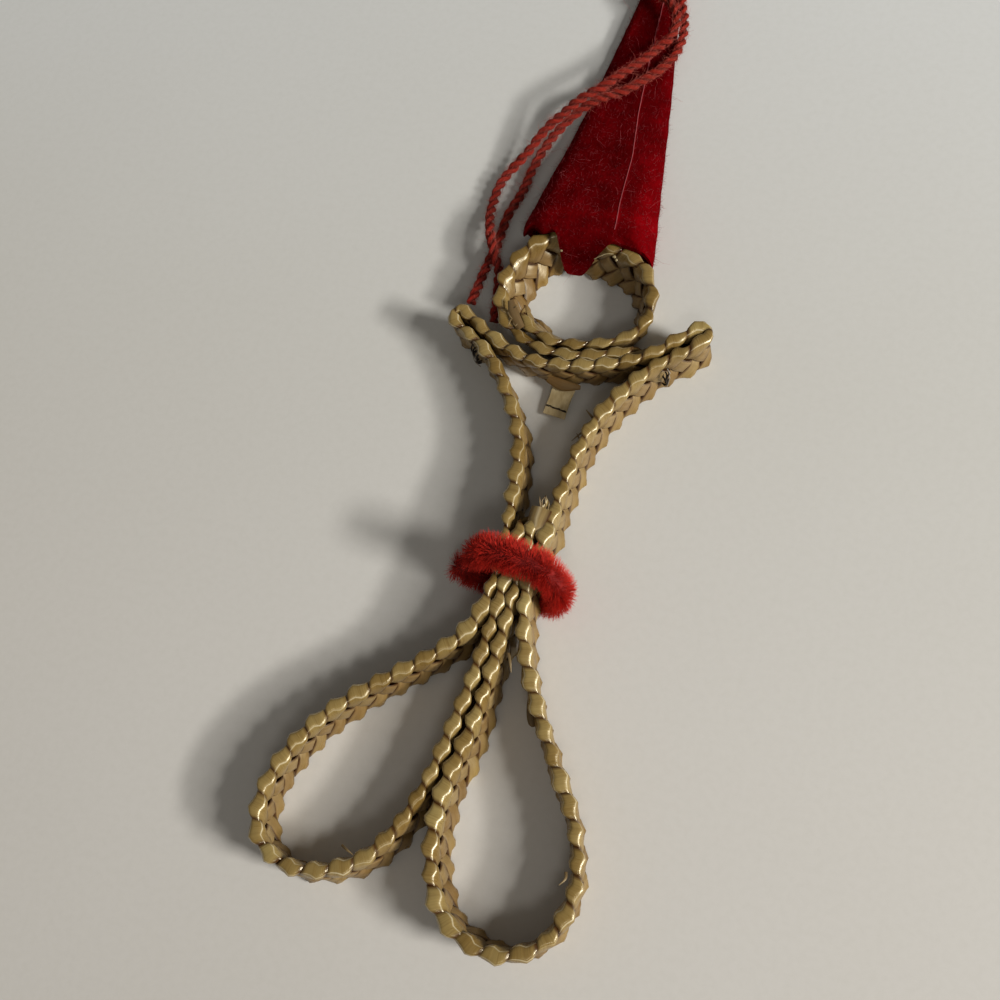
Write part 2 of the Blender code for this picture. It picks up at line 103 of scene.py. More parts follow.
CHENILLE_ROUTE = (
    ((-5.6, -31.8, 3.2), 2.6, 2.6), ((-3.6, -31.7, 2.9), 2.8, 2.6), ((-1.8, -31.7, 1.9), 2.9, 1.6),
    ((0.0, -31.9, 0.85), 3.0, 0.75), ((1.6, -32.1, 0.62), 3.0, 0.56), ((4.0, -32.4, 0.60), 3.0, 0.56),
    ((6.4, -32.8, 0.62), 3.0, 0.56), ((8.2, -33.1, 1.0), 3.0, 0.85), ((9.9, -33.3, 2.9), 2.9, 2.0),
    ((10.7, -33.1, 5.6), 2.9, 2.4), ((10.3, -32.4, 8.6), 2.9, 2.3), ((8.8, -31.6, 10.8), 2.9, 2.0),
    ((6.4, -31.0, 11.5), 2.9, 1.9), ((3.8, -30.7, 11.6), 2.9, 1.9), ((1.2, -30.5, 11.3), 2.9, 2.0),
    ((-0.9, -30.6, 10.2), 2.8, 2.1), ((-2.4, -30.8, 8.4), 2.7, 2.1),
)

YARN_ROUTE = (
    (-14.3, 9.3, 4.0), (-14.2, 13.4, 3.0), (-14.0, 17.6, 2.2), (-13.6, 21.2, 1.6), (-13.4, 26.7, 1.25),
    (-12.2, 31.2, 1.25), (-11.4, 36.6, 1.35), (-10.0, 41.1, 1.7), (-8.1, 44.3, 2.5), (-5.6, 46.8, 3.7),
    (-2.8, 48.9, 4.3), (0.4, 50.8, 4.1), (2.8, 53.4, 3.8), (5.1, 56.1, 3.5), (6.6, 58.9, 3.2),
    (7.1, 62.7, 2.7), (6.7, 66.6, 2.7), (5.6, 69.7, 3.0), (5.1, 72.8, 3.2), (4.5, 75.9, 3.3),
    (2.4, 78.3, 3.5), (-0.9, 78.0, 3.2), (-2.7, 75.1, 1.8), (-2.2, 72.4, 2.6), (-0.1, 70.9, 3.8),
    (2.4, 69.3, 4.5), (4.5, 67.6, 4.9), (5.9, 64.7, 4.9), (5.6, 61.3, 4.9), (4.0, 58.8, 5.1),
    (2.0, 55.7, 5.4), (-0.6, 52.5, 5.8), (-2.7, 49.6, 6.2), (-5.8, 47.2, 5.6), (-8.3, 44.7, 4.5),
    (-10.7, 42.1, 3.45), (-12.6, 38.3, 2.7), (-14.4, 35.5, 1.9), (-16.0, 32.2, 1.5), (-16.3, 27.7, 1.5),
    (-15.1, 23.0, 3.2), (-13.1, 18.5, 4.1), (-11.7, 15.9, 3.4), (-11.2, 12.9, 2.6), (-10.5, 7.7, 2.0),
)

# Hat: a flat cone of felt
HAT_TIP_Y = 80.0
HAT_MIDDLE_X = (1.35, 1.75)
HAT_HALF_WIDTHS = (10.6, 2.15)
HAT_PROFILE = (  # share of the way from the base to the tip, and the height there
    (0.0, 8.7), (0.1, 7.2), (0.2, 5.6), (0.3, 4.1), (0.4, 3.0), (0.52, 2.4), (0.75, 2.2), (1.0, 2.2),
)
HAT_FOLD = 0.45
HAT_FLAT_SHARE = 0.6
HAT_EDGE_SHARE = 0.985
FELT_THICKNESS = 1.0
HAT_REACH = (
    (-7.4, 0.0), (-5.8, 0.8), (-4.3, 1.5), (-3.0, 2.3), (-2.1, 3.8), (1.0, 3.85),
    (2.8, 3.3), (4.4, 2.7), (5.7, 1.7), (7.0, 0.8), (9.8, 0.6), (10.8, 0.0),
)
HAT_CORNER_Y = (23.2, 20.6)
FIT_GAP = 0.5
HAT_TUCK = 1.5  # the base's edge hugs the face beside the lip

TAB_PLACE = (2.55, -3.05, 1.15)
TAB_TURN = math.radians(-7)
TAB_SLOPE = math.radians(7)
TAB_WIDTH, TAB_LENGTH = 3.5, 4.7
TAB_DRAWN_THICKNESS = 0.24  # thinner than its solid

# From here to SLIVERS, what only this script has. These places come from the photo too.
TIE_LEFT = ((-10.85, 0.55, 4.6), math.radians(-43))
TIE_RIGHT = ((17.85, 2.5, 4.4), math.radians(38))

WIRE_RADIUS = 0.11
WIRE_TURN = 1.6  # length of one turn of the two wires
WIRE_OUT = 0.4  # how far the wire's cut end stands out of the pile's middle line

GLUE_STRING = ((3.5, 17.9, 8.0), (4.4, 18.4, 8.35), (5.3, 18.9, 8.4), (6.2, 19.2, 8.1))
GLUE_DROPS = (
    ((6.35, 18.95, 7.75), (0.32, 0.24, 0.20)),
    ((6.75, 18.55, 7.6), (0.20, 0.26, 0.15)),
    ((-1.75, 18.4, 8.1), (0.24, 0.20, 0.14)),
    ((18.05, 3.95, 6.3), (0.14, 0.14, 0.14)),
)

# a folded straw end above the waist: places with the width there
STUB = (
    ((4.95, -26.3, 7.5), 1.9), ((5.1, -25.2, 8.0), 2.4), ((5.3, -24.0, 8.25), 2.8),
    ((5.5, -22.9, 8.3), 3.1), ((5.6, -22.1, 8.25), 3.1),
)
STUB_PROFILE = (  # share of the half width, and height above the edge
    (-1.0, -0.40), (-0.95, -0.12), (-0.5, 0.10), (-0.03, 0.34), (0.05, 0.34),
    (0.5, 0.24), (0.95, 0.05), (1.0, -0.45), (0.6, -0.6), (-0.6, -0.6),
)
SPUR = (  # a loose straw's rounded end beside the right leg: places with the width there
    ((10.3, -47.0, 5.6), 1.0),
    ((10.7, -49.4, 5.4), 1.3),
    ((11.2, -51.0, 5.25), 1.25),
    ((11.45, -51.6, 5.2), 0.85),
    ((11.52, -51.8, 5.2), 0.35),
)
# a flat straw under the shoulders, over the tab, and one in the lap of the face ring
BAND_PATCH = ((0.2, 0.0, 2.2), (2.7, -0.75, 2.3), (5.4, -0.7, 2.5))
LAP_PATCH = ((-7.5, 9.4, 7.0), (-6.5, 7.4, 7.0), (-4.8, 5.3, 6.8))
# loose slivers: where each starts on its plait, a place on its way, its tip, and its width
SLIVERS = (
    ((9.3, -6.2, 4.2), (8.4, -5.6, 4.6), (7.5, -4.8, 4.4), 0.40),
    ((8.9, -7.2, 4.4), (7.8, -8.4, 4.6), (6.5, -9.9, 4.2), 0.32),
    ((8.6, -10.2, 4.0), (7.6, -9.4, 4.2), (6.9, -8.5, 3.9), 0.30),
    ((10.2, -48.4, 3.8), (10.6, -49.6, 4.0), (11.4, -50.9, 3.8), 0.45),
    ((20.6, -69.0, 6.8), (20.8, -69.8, 7.4), (20.2, -70.8, 7.6), 0.40),
    ((-9.2, -73.2, 7.0), (-8.2, -73.6, 7.6), (-7.2, -74.0, 7.6), 0.36),
    ((-2.6, -64.4, 2.2), (-1.0, -66.4, 2.4), (0.7, -68.3, 2.0), 0.34),
    ((6.0, -43.0, 6.9), (6.6, -44.2, 7.4), (7.1, -45.6, 7.2), 0.42),
    ((5.5, -22.2, 8.2), (5.2, -21.4, 8.9), (5.0, -20.7, 9.0), 0.22),
    ((5.6, -22.2, 8.2), (5.5, -21.2, 9.0), (5.7, -20.6, 8.8), 0.20),
    ((6.1, -22.2, 8.1), (6.0, -21.4, 8.8), (5.8, -20.7, 9.2), 0.22),
    ((6.4, -22.3, 8.0), (6.5, -21.5, 8.6), (6.3, -20.9, 8.7), 0.20),
    ((-8.2, 7.1, 8.2), (-7.7, 6.6, 8.6), (-7.3, 6.6, 8.5), 0.24),
    ((-7.1, 6.8, 8.2), (-6.5, 6.0, 8.7), (-6.0, 5.7, 8.5), 0.26),
    ((-6.3, 5.8, 8.2), (-6.3, 5.0, 8.6), (-6.4, 4.5, 8.4), 0.24),
    ((-6.4, 7.7, 8.2), (-6.0, 7.7, 8.7), (-5.7, 7.7, 8.6), 0.26),
    ((-5.9, 5.2, 8.2), (-5.3, 4.7, 8.5), (-5.1, 5.1, 8.4), 0.20),
)

draw = np.random.default_rng(7)


# ---------------------------------------------------------------- materials


class Nodes:
    """Short ways to wire one material's nodes."""

    def __init__(self, name, roughness, **sockets):
        self.material = bpy.data.materials.new(name)
        self.material.use_nodes = True
        self.tree = self.material.node_tree
        self.shader = self.tree.nodes["Principled BSDF"]
        self.shader.inputs["Roughness"].default_value = roughness
        for socket, value in sockets.items():
            self.shader.inputs[socket.replace("_", " ")].default_value = value

    def add(self, kind, inputs=(), **settings):
        node = self.tree.nodes.new(kind)
        for setting, value in settings.items():
            setattr(node, setting, value)
        for socket, value in dict(inputs).items():
            if isinstance(value, bpy.types.NodeSocket):
                self.tree.links.new(value, node.inputs[socket])
            else:
                node.inputs[socket].default_value = value
        return node

    def link(self, source, socket):
        self.tree.links.new(source, self.shader.inputs[socket])

    def attribute(self, name):
        return self.add("ShaderNodeAttribute", attribute_name=name)

    def tone(self):
        """The three numbers that the mesh carries for its colours."""
        colour = self.attribute("tone").outputs["Color"]
        return self.add("ShaderNodeSeparateColor", {"Color": colour}).outputs

    def stretch(self, vector, scale):
        return self.add("ShaderNodeMapping", {"Vector": vector, "Scale": scale}).outputs[0]

    def place(self, scale=(1.0, 1.0, 1.0)):
        """Object coordinates, stretched by scale."""
        return self.stretch(self.add("ShaderNodeTexCoord").outputs["Object"], scale)

    def noise(self, vector, scale, detail=3.0, roughness=0.5):
        inputs = {"Vector": vector, "Scale": scale, "Detail": detail, "Roughness": roughness}
        return self.add("ShaderNodeTexNoise", inputs).outputs["Fac"]

    def ramp(self, value, *stops):
        """Colours by value: each stop is a place and a colour, linear."""
        node = self.add("ShaderNodeValToRGB", {"Fac": value})
        band = node.color_ramp
        while len(band.elements) < len(stops):
            band.elements.new(0.5)
        for element, (place, colour) in zip(band.elements, stops):
            element.position = place
            element.color = (*colour, 1.0)
        return node.outputs["Color"]

    def math(self, operation, a, b):
        return self.add("ShaderNodeMath", {0: a, 1: b}, operation=operation).outputs[0]

    def mix(self, factor, a, b, kind="MIX"):
        node = self.add("ShaderNodeMix", data_type="RGBA", blend_type=kind)
        for index, value in ((0, factor), (6, a), (7, b)):
            if isinstance(value, bpy.types.NodeSocket):
                self.tree.links.new(value, node.inputs[index])
            else:
                node.inputs[index].default_value = (*value, 1.0) if index else value
        return node.outputs[2]

    def bump(self, height, strength, distance):
        inputs = {"Height": height, "Strength": strength, "Distance": distance}
        self.link(self.add("ShaderNodeBump", inputs).outputs["Normal"], "Normal")


def straw_material():
    """Flattened straw: olive at the folds, tan on the sides, glossy, with fine lines along it. Painted
    pale along each fold's crease as a highlight, darker at the straws' edges (partly stain, partly
    painted shade) and darker towards the table (painted shade).
    """
    made = Nodes("straw", 0.26, Specular_IOR_Level=1.0)
    made.shader.inputs["Specular Tint"].default_value = (1.0, 0.90, 0.66, 1.0)
    along = made.add("ShaderNodeUVMap", uv_map="straw").outputs["UV"]
    lines = made.noise(made.stretch(along, (0.05, 2.6, 1.0)), 2.2, 4.0, 0.6)
    patches = made.noise(made.stretch(along, (0.16, 0.5, 1.0)), 1.4, 3.0, 0.55)
    tone = made.tone()
    own_tone = made.math("MULTIPLY", tone[0], 0.55)
    mixed = made.math("ADD", own_tone, made.math("MULTIPLY", patches, 0.5))
    side = made.ramp(
        mixed,
        (0.12, (0.140, 0.078, 0.018)),
        (0.42, (0.232, 0.153, 0.064)),
        (0.68, (0.290, 0.214, 0.102)),
        (0.95, (0.365, 0.298, 0.180)),
    )
    rim = made.ramp(
        mixed,
        (0.12, (0.130, 0.074, 0.011)),
        (0.42, (0.232, 0.151, 0.044)),
        (0.68, (0.305, 0.220, 0.078)),
        (0.95, (0.390, 0.305, 0.110)),
    )
    base = made.mix(made.ramp(tone[2], (0.35, (0, 0, 0)), (0.85, (1, 1, 1))), side, rim)
    streak = made.ramp(
        lines,
        (0.30, (0.58, 0.48, 0.36)),
        (0.50, (1.0, 1.0, 1.0)),
        (0.72, (1.22, 1.20, 1.16)),
    )
    base = made.mix(0.5, base, streak, "MULTIPLY")
    # Darker at the straws' edges: partly stain, partly painted shade in the crevices between straws.
    stain_and_edge_shade = made.ramp(tone[1], (0.15, (1.0, 1.0, 1.0)), (0.85, (0.22, 0.11, 0.035)))
    base = made.mix(1.0, base, stain_and_edge_shade, "MULTIPLY")
    # Painted shade by height: darker and warmer towards the table, a little lighter near the rims.
    centimetres = made.place((100.0, 100.0, 100.0))
    height = made.add("ShaderNodeSeparateXYZ", {"Vector": centimetres}).outputs["Z"]
    low = made.ramp(
        height,
        (0.10, (0.88, 0.74, 0.48)),
        (0.50, (0.97, 0.90, 0.76)),
        (0.80, (1.07, 1.05, 1.02)),
    )
    base = made.mix(1.0, base, low, "MULTIPLY")
    # Painted highlight: pale gold mixed in along each fold's crease.
    painted_crease_highlight = made.ramp(made.attribute("crease").outputs["Fac"], (0.25, (0, 0, 0)), (0.9, (1, 1, 1)))
    base = made.mix(made.math("MULTIPLY", painted_crease_highlight, 0.75), base, (0.72, 0.62, 0.40))
    made.link(base, "Base Color")
    gloss = made.ramp(patches, (0.3, (0.22, 0.22, 0.22)), (0.75, (0.35, 0.35, 0.35)))
    flat = made.ramp(tone[2], (0.35, (1.0, 1.0, 1.0)), (0.75, (0.0, 0.0, 0.0)))
    made.link(made.math("ADD", gloss, made.math("MULTIPLY", flat, 0.17)), "Roughness")
    made.bump(lines, 0.30, 0.0001)
    return made.material


def felt_material():
    made = Nodes("felt", 1.0, Sheen_Weight=0.05, Sheen_Roughness=0.4, Specular_IOR_Level=0.0)
    made.shader.inputs["Sheen Tint"].default_value = (1.0, 0.08, 0.09, 1.0)
    cloud = made.noise(made.place(), 260.0, 4.0, 0.6)
    hairs = made.noise(made.place((1.0, 0.35, 1.0)), 2600.0, 5.0, 0.75)
    base = made.ramp(
        cloud,
        (0.30, (0.080, 0.0006, 0.0014)),
        (0.62, (0.130, 0.0010, 0.0024)),
        (0.85, (0.190, 0.0022, 0.0050)),
    )
    tone = made.tone()
    # Painted light: lighter right of the seam near the base, and along the fold band above the face.
    painted_light_tint = made.ramp(tone[1], (0.0, (1.0, 1.0, 1.0)), (1.0, (1.8, 1.2, 1.4)))
    base = made.mix(1.0, base, painted_light_tint, "MULTIPLY")
    fleck = made.ramp(
        hairs,
        (0.35, (0.70, 0.62, 0.62)),
        (0.60, (1.0, 1.0, 1.0)),
        (0.80, (1.35, 1.6, 1.7)),
    )
    made.link(made.mix(0.9, base, fleck, "MULTIPLY"), "Base Color")
    made.bump(hairs, 0.5, 0.0002)
    return made.material


def fuzz_material(name, dark, light, scale, roughness=0.8, **sockets):
    """Fibres painted darker at the root, as shade in the pile, and lighter towards the tip, as painted
    light.
    """
    made = Nodes(name, roughness, **sockets)
    tone = made.tone()
    spread = made.noise(made.place(), scale, 2.0)
    mixed = made.math("MULTIPLY_ADD", spread, 0.35)
    mixed.node.inputs[2].default_value = -0.17
    value = made.math("ADD", tone[0], mixed)
    made.link(made.ramp(value, (0.05, dark), (0.9, light)), "Base Color")
    return made.material


def yarn_material():
    made = Nodes("yarn", 0.95, Sheen_Weight=0.18, Sheen_Roughness=0.5, Specular_IOR_Level=0.2)
    made.shader.inputs["Sheen Tint"].default_value = (1.0, 0.30, 0.20, 1.0)
    along = made.add("ShaderNodeUVMap", uv_map="ply").outputs["UV"]
    lines = made.noise(made.stretch(along, (0.5, 3.0, 1.0)), 3.0, 5.0, 0.7)
    base = made.ramp(
        lines,
        (0.30, (0.100, 0.003, 0.001)),
        (0.50, (0.320, 0.012, 0.005)),
        (0.72, (0.600, 0.048, 0.022)),
    )
    tone = made.tone()
    # Painted shade: darker where the two plies press together.
    painted_groove_shade = made.ramp(tone[1], (0.15, (1.0, 1.0, 1.0)), (0.85, (0.14, 0.09, 0.09)))
    made.link(made.mix(0.9, base, painted_groove_shade, "MULTIPLY"), "Base Color")
    made.bump(lines, 1.0, 0.0004)
    return made.material


def tab_material():
    made = Nodes("tab", 0.55)
    grain = made.noise(made.place((1.0, 0.3, 1.0)), 1800.0, 4.0, 0.6)
    base = made.ramp(grain, (0.3, (0.40, 0.29, 0.13)), (0.7, (0.58, 0.46, 0.25)))
    made.link(base, "Base Color")
    made.bump(grain, 0.25, 0.0001)
    return made.material


def thread_material(name, low, high, roughness):
    made = Nodes(name, roughness, Specular_IOR_Level=0.25)
    grain = made.noise(made.place(), 3500.0, 3.0)
    made.link(made.ramp(grain, (0.3, low), (0.7, high)), "Base Color")
    made.bump(grain, 0.4, 0.0001)
    return made.material


def glue_material():
    made = Nodes("glue", 0.12, IOR=1.47)
    grain = made.noise(made.place(), 900.0, 2.0)
    base = made.ramp(grain, (0.3, (0.20, 0.15, 0.07)), (0.7, (0.36, 0.29, 0.16)))
    made.link(base, "Base Color")
    made.bump(grain, 0.2, 0.0001)
    return made.material


def floor_material():
    made = Nodes("table", 0.62)
    where = made.place()
    wash = made.noise(where, 7.0, 3.0, 0.5)
    fine = made.noise(where, 900.0, 3.0, 0.6)
    base = made.ramp(wash, (0.25, (0.640, 0.608, 0.545)), (0.75, (0.680, 0.652, 0.595)))
    specks = made.ramp(fine, (0.25, (0.95, 0.95, 0.94)), (0.6, (1.0, 1.0, 1.0)))
    base = made.mix(0.6, base, specks, "MULTIPLY")
    # Painted light: the floor grows lighter and bluer towards +Y.
    length = made.add("ShaderNodeSeparateXYZ", {"Vector": where}).outputs["Y"]
    painted_light_falloff = made.ramp(
        made.math("ADD", made.math("MULTIPLY", length, 4.0), 0.5),
        (0.05, (0.93, 0.925, 0.93)),
        (0.30, (0.99, 0.99, 1.0)),
        (0.52, (1.01, 1.03, 1.05)),
        (0.88, (1.11, 1.17, 1.25)),
    )
    base = made.mix(1.0, base, painted_light_falloff, "MULTIPLY")
    crumbs = made.add("ShaderNodeTexVoronoi", {"Vector": where, "Scale": 62.0, "Randomness": 1.0})
    size = made.add("ShaderNodeSeparateColor", {"Color": crumbs.outputs["Color"]})
    limit = made.math("MULTIPLY", made.math("POWER", size.outputs[0], 9.0), 0.028)
    away = made.add("ShaderNodeVectorMath", {0: where}, operation="LENGTH").outputs["Value"]
    near = made.math("LESS_THAN", away, 0.085)
    dot = made.math("MULTIPLY", made.math("LESS_THAN", crumbs.outputs["Distance"], limit), near)
    made.link(made.mix(dot, base, (0.20, 0.13, 0.07)), "Base Color")
    made.bump(fine, 0.08, 0.0001)
    return made.material


# ---------------------------------------------------------------- mesh helpers


def make_piece(name, points, faces, material, corner_uv=None, uv_name="UVMap", tone=None, sharp=60):
    """A mesh from points in route millimetres. Faces may be arrays of triangles or of quads, or lists."""
    mesh = bpy.data.meshes.new(name)
    placed = (np.asarray(points, float) - MIDDLE) * MM
    mesh.from_pydata(placed.tolist(), [], [tuple(map(int, face)) for face in faces])
    mesh.materials.append(material)
    if corner_uv is not None:
        layer = mesh.uv_layers.new(name=uv_name)
        corners = np.empty(len(mesh.loops), np.int32)
        mesh.loops.foreach_get("vertex_index", corners)
        layer.uv.foreach_set("vector", np.asarray(corner_uv, np.float32)[corners].ravel())
    if tone is not None:
        layer = mesh.color_attributes.new("tone", "FLOAT_COLOR", "POINT")
        values = np.ones((len(placed), 4), np.float32)
        values[:, : min(3, tone.shape[1])] = tone[:, :3]
        layer.data.foreach_set("color", values.ravel())
        if tone.shape[1] > 3:
            crease = mesh.attributes.new("crease", "FLOAT", "POINT")
            crease.data.foreach_set("value", tone[:, 3].astype(np.float32))
    mesh.shade_smooth()
    mesh.set_sharp_from_angle(angle=math.radians(sharp))
    obj = bpy.data.objects.new(name, mesh)
    bpy.context.scene.collection.objects.link(obj)
    return obj


def signed_volume(points, quads):
    """Above zero where the quads face out. Only its sign is used."""
    a, b, c, d = (points[quads[:, k]] for k in range(4))
    near, far = (np.einsum("ij,ij->i", a, np.cross(*pair)) for pair in ((b, c), (c, d)))
    return (near + far).sum()


def tube_of(rings):
    """Points and outward faces of a closed tube through rings, an array (ring, side, xyz)."""
    count, sides = rings.shape[:2]
    points = rings.reshape(-1, 3)
    ring, side = np.meshgrid(np.arange(count - 1), np.arange(sides), indexing="ij")
    low, after = ring * sides + side, ring * sides + (side + 1) % sides
    quads = np.stack([low, after, after + sides, low + sides], axis=-1).reshape(-1, 4)
    caps = [list(range(sides))[::-1], [(count - 1) * sides + k for k in range(sides)]]
    if signed_volume(points, quads) < 0:
        quads = quads[:, ::-1]
        caps = [cap[::-1] for cap in caps]
    return points, quads.tolist() + caps


class Gathered:
    """Several closed shapes gathered into one mesh."""

    def __init__(self):
        self.points, self.faces, self.uv, self.tone = [], [], [], []
        self.count = 0

    def add(self, points, faces, uv=None, tone=None):
        plain = np.zeros((len(points), 2))
        self.faces += [[i + self.count for i in face] for face in faces]
        self.points.append(points)
        self.uv.append(plain if uv is None else uv)
        self.tone.append(plain if tone is None else tone)
        self.count += len(points)

    def piece(self, name, material, uv_name, sharp=60):
        return make_piece(
            name,
            np.concatenate(self.points),
            self.faces,
            material,
            np.concatenate(self.uv),
            uv_name,
            np.concatenate(self.tone),
            sharp,
        )


def smooth_line(points, step):
    """A centripetal Catmull-Rom curve through rows of numbers, the place first."""
    points = np.array(points, float)
    before, after = 2 * points[0] - points[1], 2 * points[-1] - points[-2]
    padded = np.vstack([before, points, after])
    rows = []
    for i in range(len(points) - 1):
        p0, p1, p2, p3 = padded[i : i + 4]
        gaps = [np.linalg.norm((b - a)[:2]) ** 0.5 for a, b in ((p0, p1), (p1, p2), (p2, p3))]
        t0, t1 = 0.0, gaps[0]
        t2 = t1 + gaps[1]
        t3 = t2 + gaps[2]
        count = max(2, math.ceil(np.linalg.norm((p2 - p1)[:2]) / step))
        for t in np.linspace(t1, t2, count, endpoint=False):
            a1 = ((t1 - t) * p0 + (t - t0) * p1) / (t1 - t0)
            a2 = ((t2 - t) * p1 + (t - t1) * p2) / (t2 - t1)
            a3 = ((t3 - t) * p2 + (t - t2) * p3) / (t3 - t2)
            b1 = ((t2 - t) * a1 + (t - t0) * a2) / (t2 - t0)
            b2 = ((t3 - t) * a2 + (t - t1) * a3) / (t3 - t1)
            rows.append(((t2 - t) * b1 + (t - t1) * b2) / (t2 - t1))
    rows.append(points[-1])
    return np.array(rows)


def lengths_along(line):
    return np.concatenate([[0.0], np.cumsum(np.linalg.norm(np.diff(line, axis=0), axis=1))])


def unit(rows):
    return rows / np.linalg.norm(rows, axis=-1, keepdims=True)


def circle(count):
    """Angles of this many places round a circle."""
    return np.linspace(0, 2 * math.pi, count, endpoint=False)


def sample(s, along, columns):
    """Each column's value at s, as rows."""
    return np.stack([np.interp(s, along, column) for column in columns.T], 1)


def cross_axes(directions, upright):
    """Two directions square to each one, started from X where it is nearer Z than upright."""
    start = np.where(np.abs(directions[:, 2:3]) < upright, [[0.0, 0.0, 1.0]], [[1.0, 0.0, 0.0]])
    e1 = unit(np.cross(directions, start))
    return e1, np.cross(directions, e1)


def with_body(fibre_mesh, body_points, body_faces, body_tone):
    """Fibres and the closed body that they stand on, as one mesh with its tones."""
    points, faces, tone = fibre_mesh
    faces = faces.tolist() + [[i + len(points) for i in face] for face in body_faces]
    tone = np.vstack([tone, np.full((len(body_points), 2), body_tone)])
    return np.vstack([points, body_points]), faces, tone


def ease(value):
    value = np.clip(value, 0.0, 1.0)
    return value * value * (3 - 2 * value)


def wander(values, scale, seed):
    """Smooth random numbers from -1 to 1 along values."""
    return np.array([noise.noise(Vector((v * scale, seed * 17.3, 4.1))) * 1.6 for v in values])


# ---------------------------------------------------------------- straw plaits

STRAWS = 4
CREST_SWING = 0.26  # how far a fold's crest wanders to either side
STRAW_WIDTH = 3.75  # measured along the plait, as each straw crosses it at 45 degrees
STRAW_HALF = 0.26  # half of its thickness, in its middle
STRAW_CURL = 0.05  # its edges curl in by this much
NOSE = 0.68  # radius of a straw's fold round the rim, on the nominal course
NOSE_ADVANCE = 0.4  # how much less a straw moves along the plait while it folds over the rim
RISE = PLAIT_WIDTH - 2 * STRAW_HALF - 0.1  # of its middle line, from fold to fold
HALF_COURSE = RISE - 2 * NOSE + math.pi * NOSE
NOSE_TURN = math.pi * NOSE / 2  # a fold's length on either side of its crest
# where the fold is drawn, in radians from its crest
NOSE_ANGLES = np.array([0.0, 0.10, 0.3, 0.5, 0.66, 0.785, 0.9, 1.07, 1.3])
STRAIGHT_STEPS = 12
BOXY = 0.60  # power of the fold's section: 1 is round, less is flat on top, with a crease each side
CREST = (  # how far out a fold's crease runs, by place across the straw
    (-1.0, -0.10), (-0.6, -0.04), (-0.2, 0.16), (0.15, 0.30), (0.55, 0.22), (1.0, -0.05),
)
CREST_SIDE = (  # to which side it swings, by place across the straw
    (-1, 0.1), (-0.55, -0.7), (-0.25, -1), (0.15, 1), (0.45, 0.8), (1, -0.1),
)
TURN_LENGTH = 0.5  # half the length over which it passes from one face to the other
LINE_STEP = 0.15  # between the places where a plait's course is worked out
BEYOND = 4.0  # how far that course is drawn out past its ends
CORE_INSET = 1.5  # of the hidden band from the rims
HAND = -1  # the straws climb the side on the right of the plait's course
# round a straw's section: the place across it, and the face that it is on
RING_X = np.array([-1.0, -0.9, -0.55, -0.15, 0.25, 0.62, 0.92, 1.0, 0.8, 0.3, -0.3, -0.8])
RING_SIDE = np.array([0, 1, 1, 1, 1, 1, 1, 0, -1, -1, -1, -1])
CORE_HALF = 0.12  # half the hidden band's thickness
END_GAP = 0.6  # least distance of a straw's end from the plait's end
RIDGE = 0.022  # height of the fine ridges along a straw


class Plait:
    """A plait's course: its middle, the way across it and its width's direction, by length."""

    def __init__(self, rows, lifted):
        line = smooth_line(rows, LINE_STEP)
        count = len(line)
        low = np.clip(np.arange(count) - 2, 0, None)
        high = np.clip(np.arange(count) + 2, None, count - 1)
        ahead = unit(line[high, :2] - line[low, :2])
        lean = line[:, 3:5]
        up = np.column_stack([lean, np.sqrt(PLAIT_WIDTH**2 - (lean**2).sum(1))]) / PLAIT_WIDTH
        lift = np.zeros(count)
        if lifted:
            away = (np.abs(line[:, 1] - WAIST_Y) - LIFT_FULL) / (LIFT_GONE - LIFT_FULL)
            lift = WAIST_LIFT * (1 - ease(away))
        foot = np.column_stack([line[:, :2] - lean, lift])
        middle = foot + up * PLAIT_WIDTH / 2
        across = np.column_stack([-ahead[:, 1], ahead[:, 0], np.zeros(count)])
        along = lengths_along(middle)
        before = middle[0] - unit(middle[1] - middle[0]) * BEYOND
        after = middle[-1] + unit(middle[-1] - middle[-2]) * BEYOND
        self.length = along[-1]
        self.at = np.concatenate([[-BEYOND], along, [along[-1] + BEYOND]])
        self.rows = np.column_stack(
            [
                np.vstack([before, middle, after]),
                np.vstack([across[0], across, across[-1]]),
                np.vstack([up[0], up, up[-1]]),
                np.concatenate([line[:1, 2], line[:, 2], line[-1:, 2]]),
            ]
        )

    def frame(self, s):
        """The middle, the way across, the width's direction and the thickness at s."""
        found = [np.interp(s, self.at, column) for column in self.rows.T]
        middle, across, up = (np.stack(found[k : k + 3], -1) for k in (0, 3, 6))
        return middle, unit(across), unit(up), found[9]


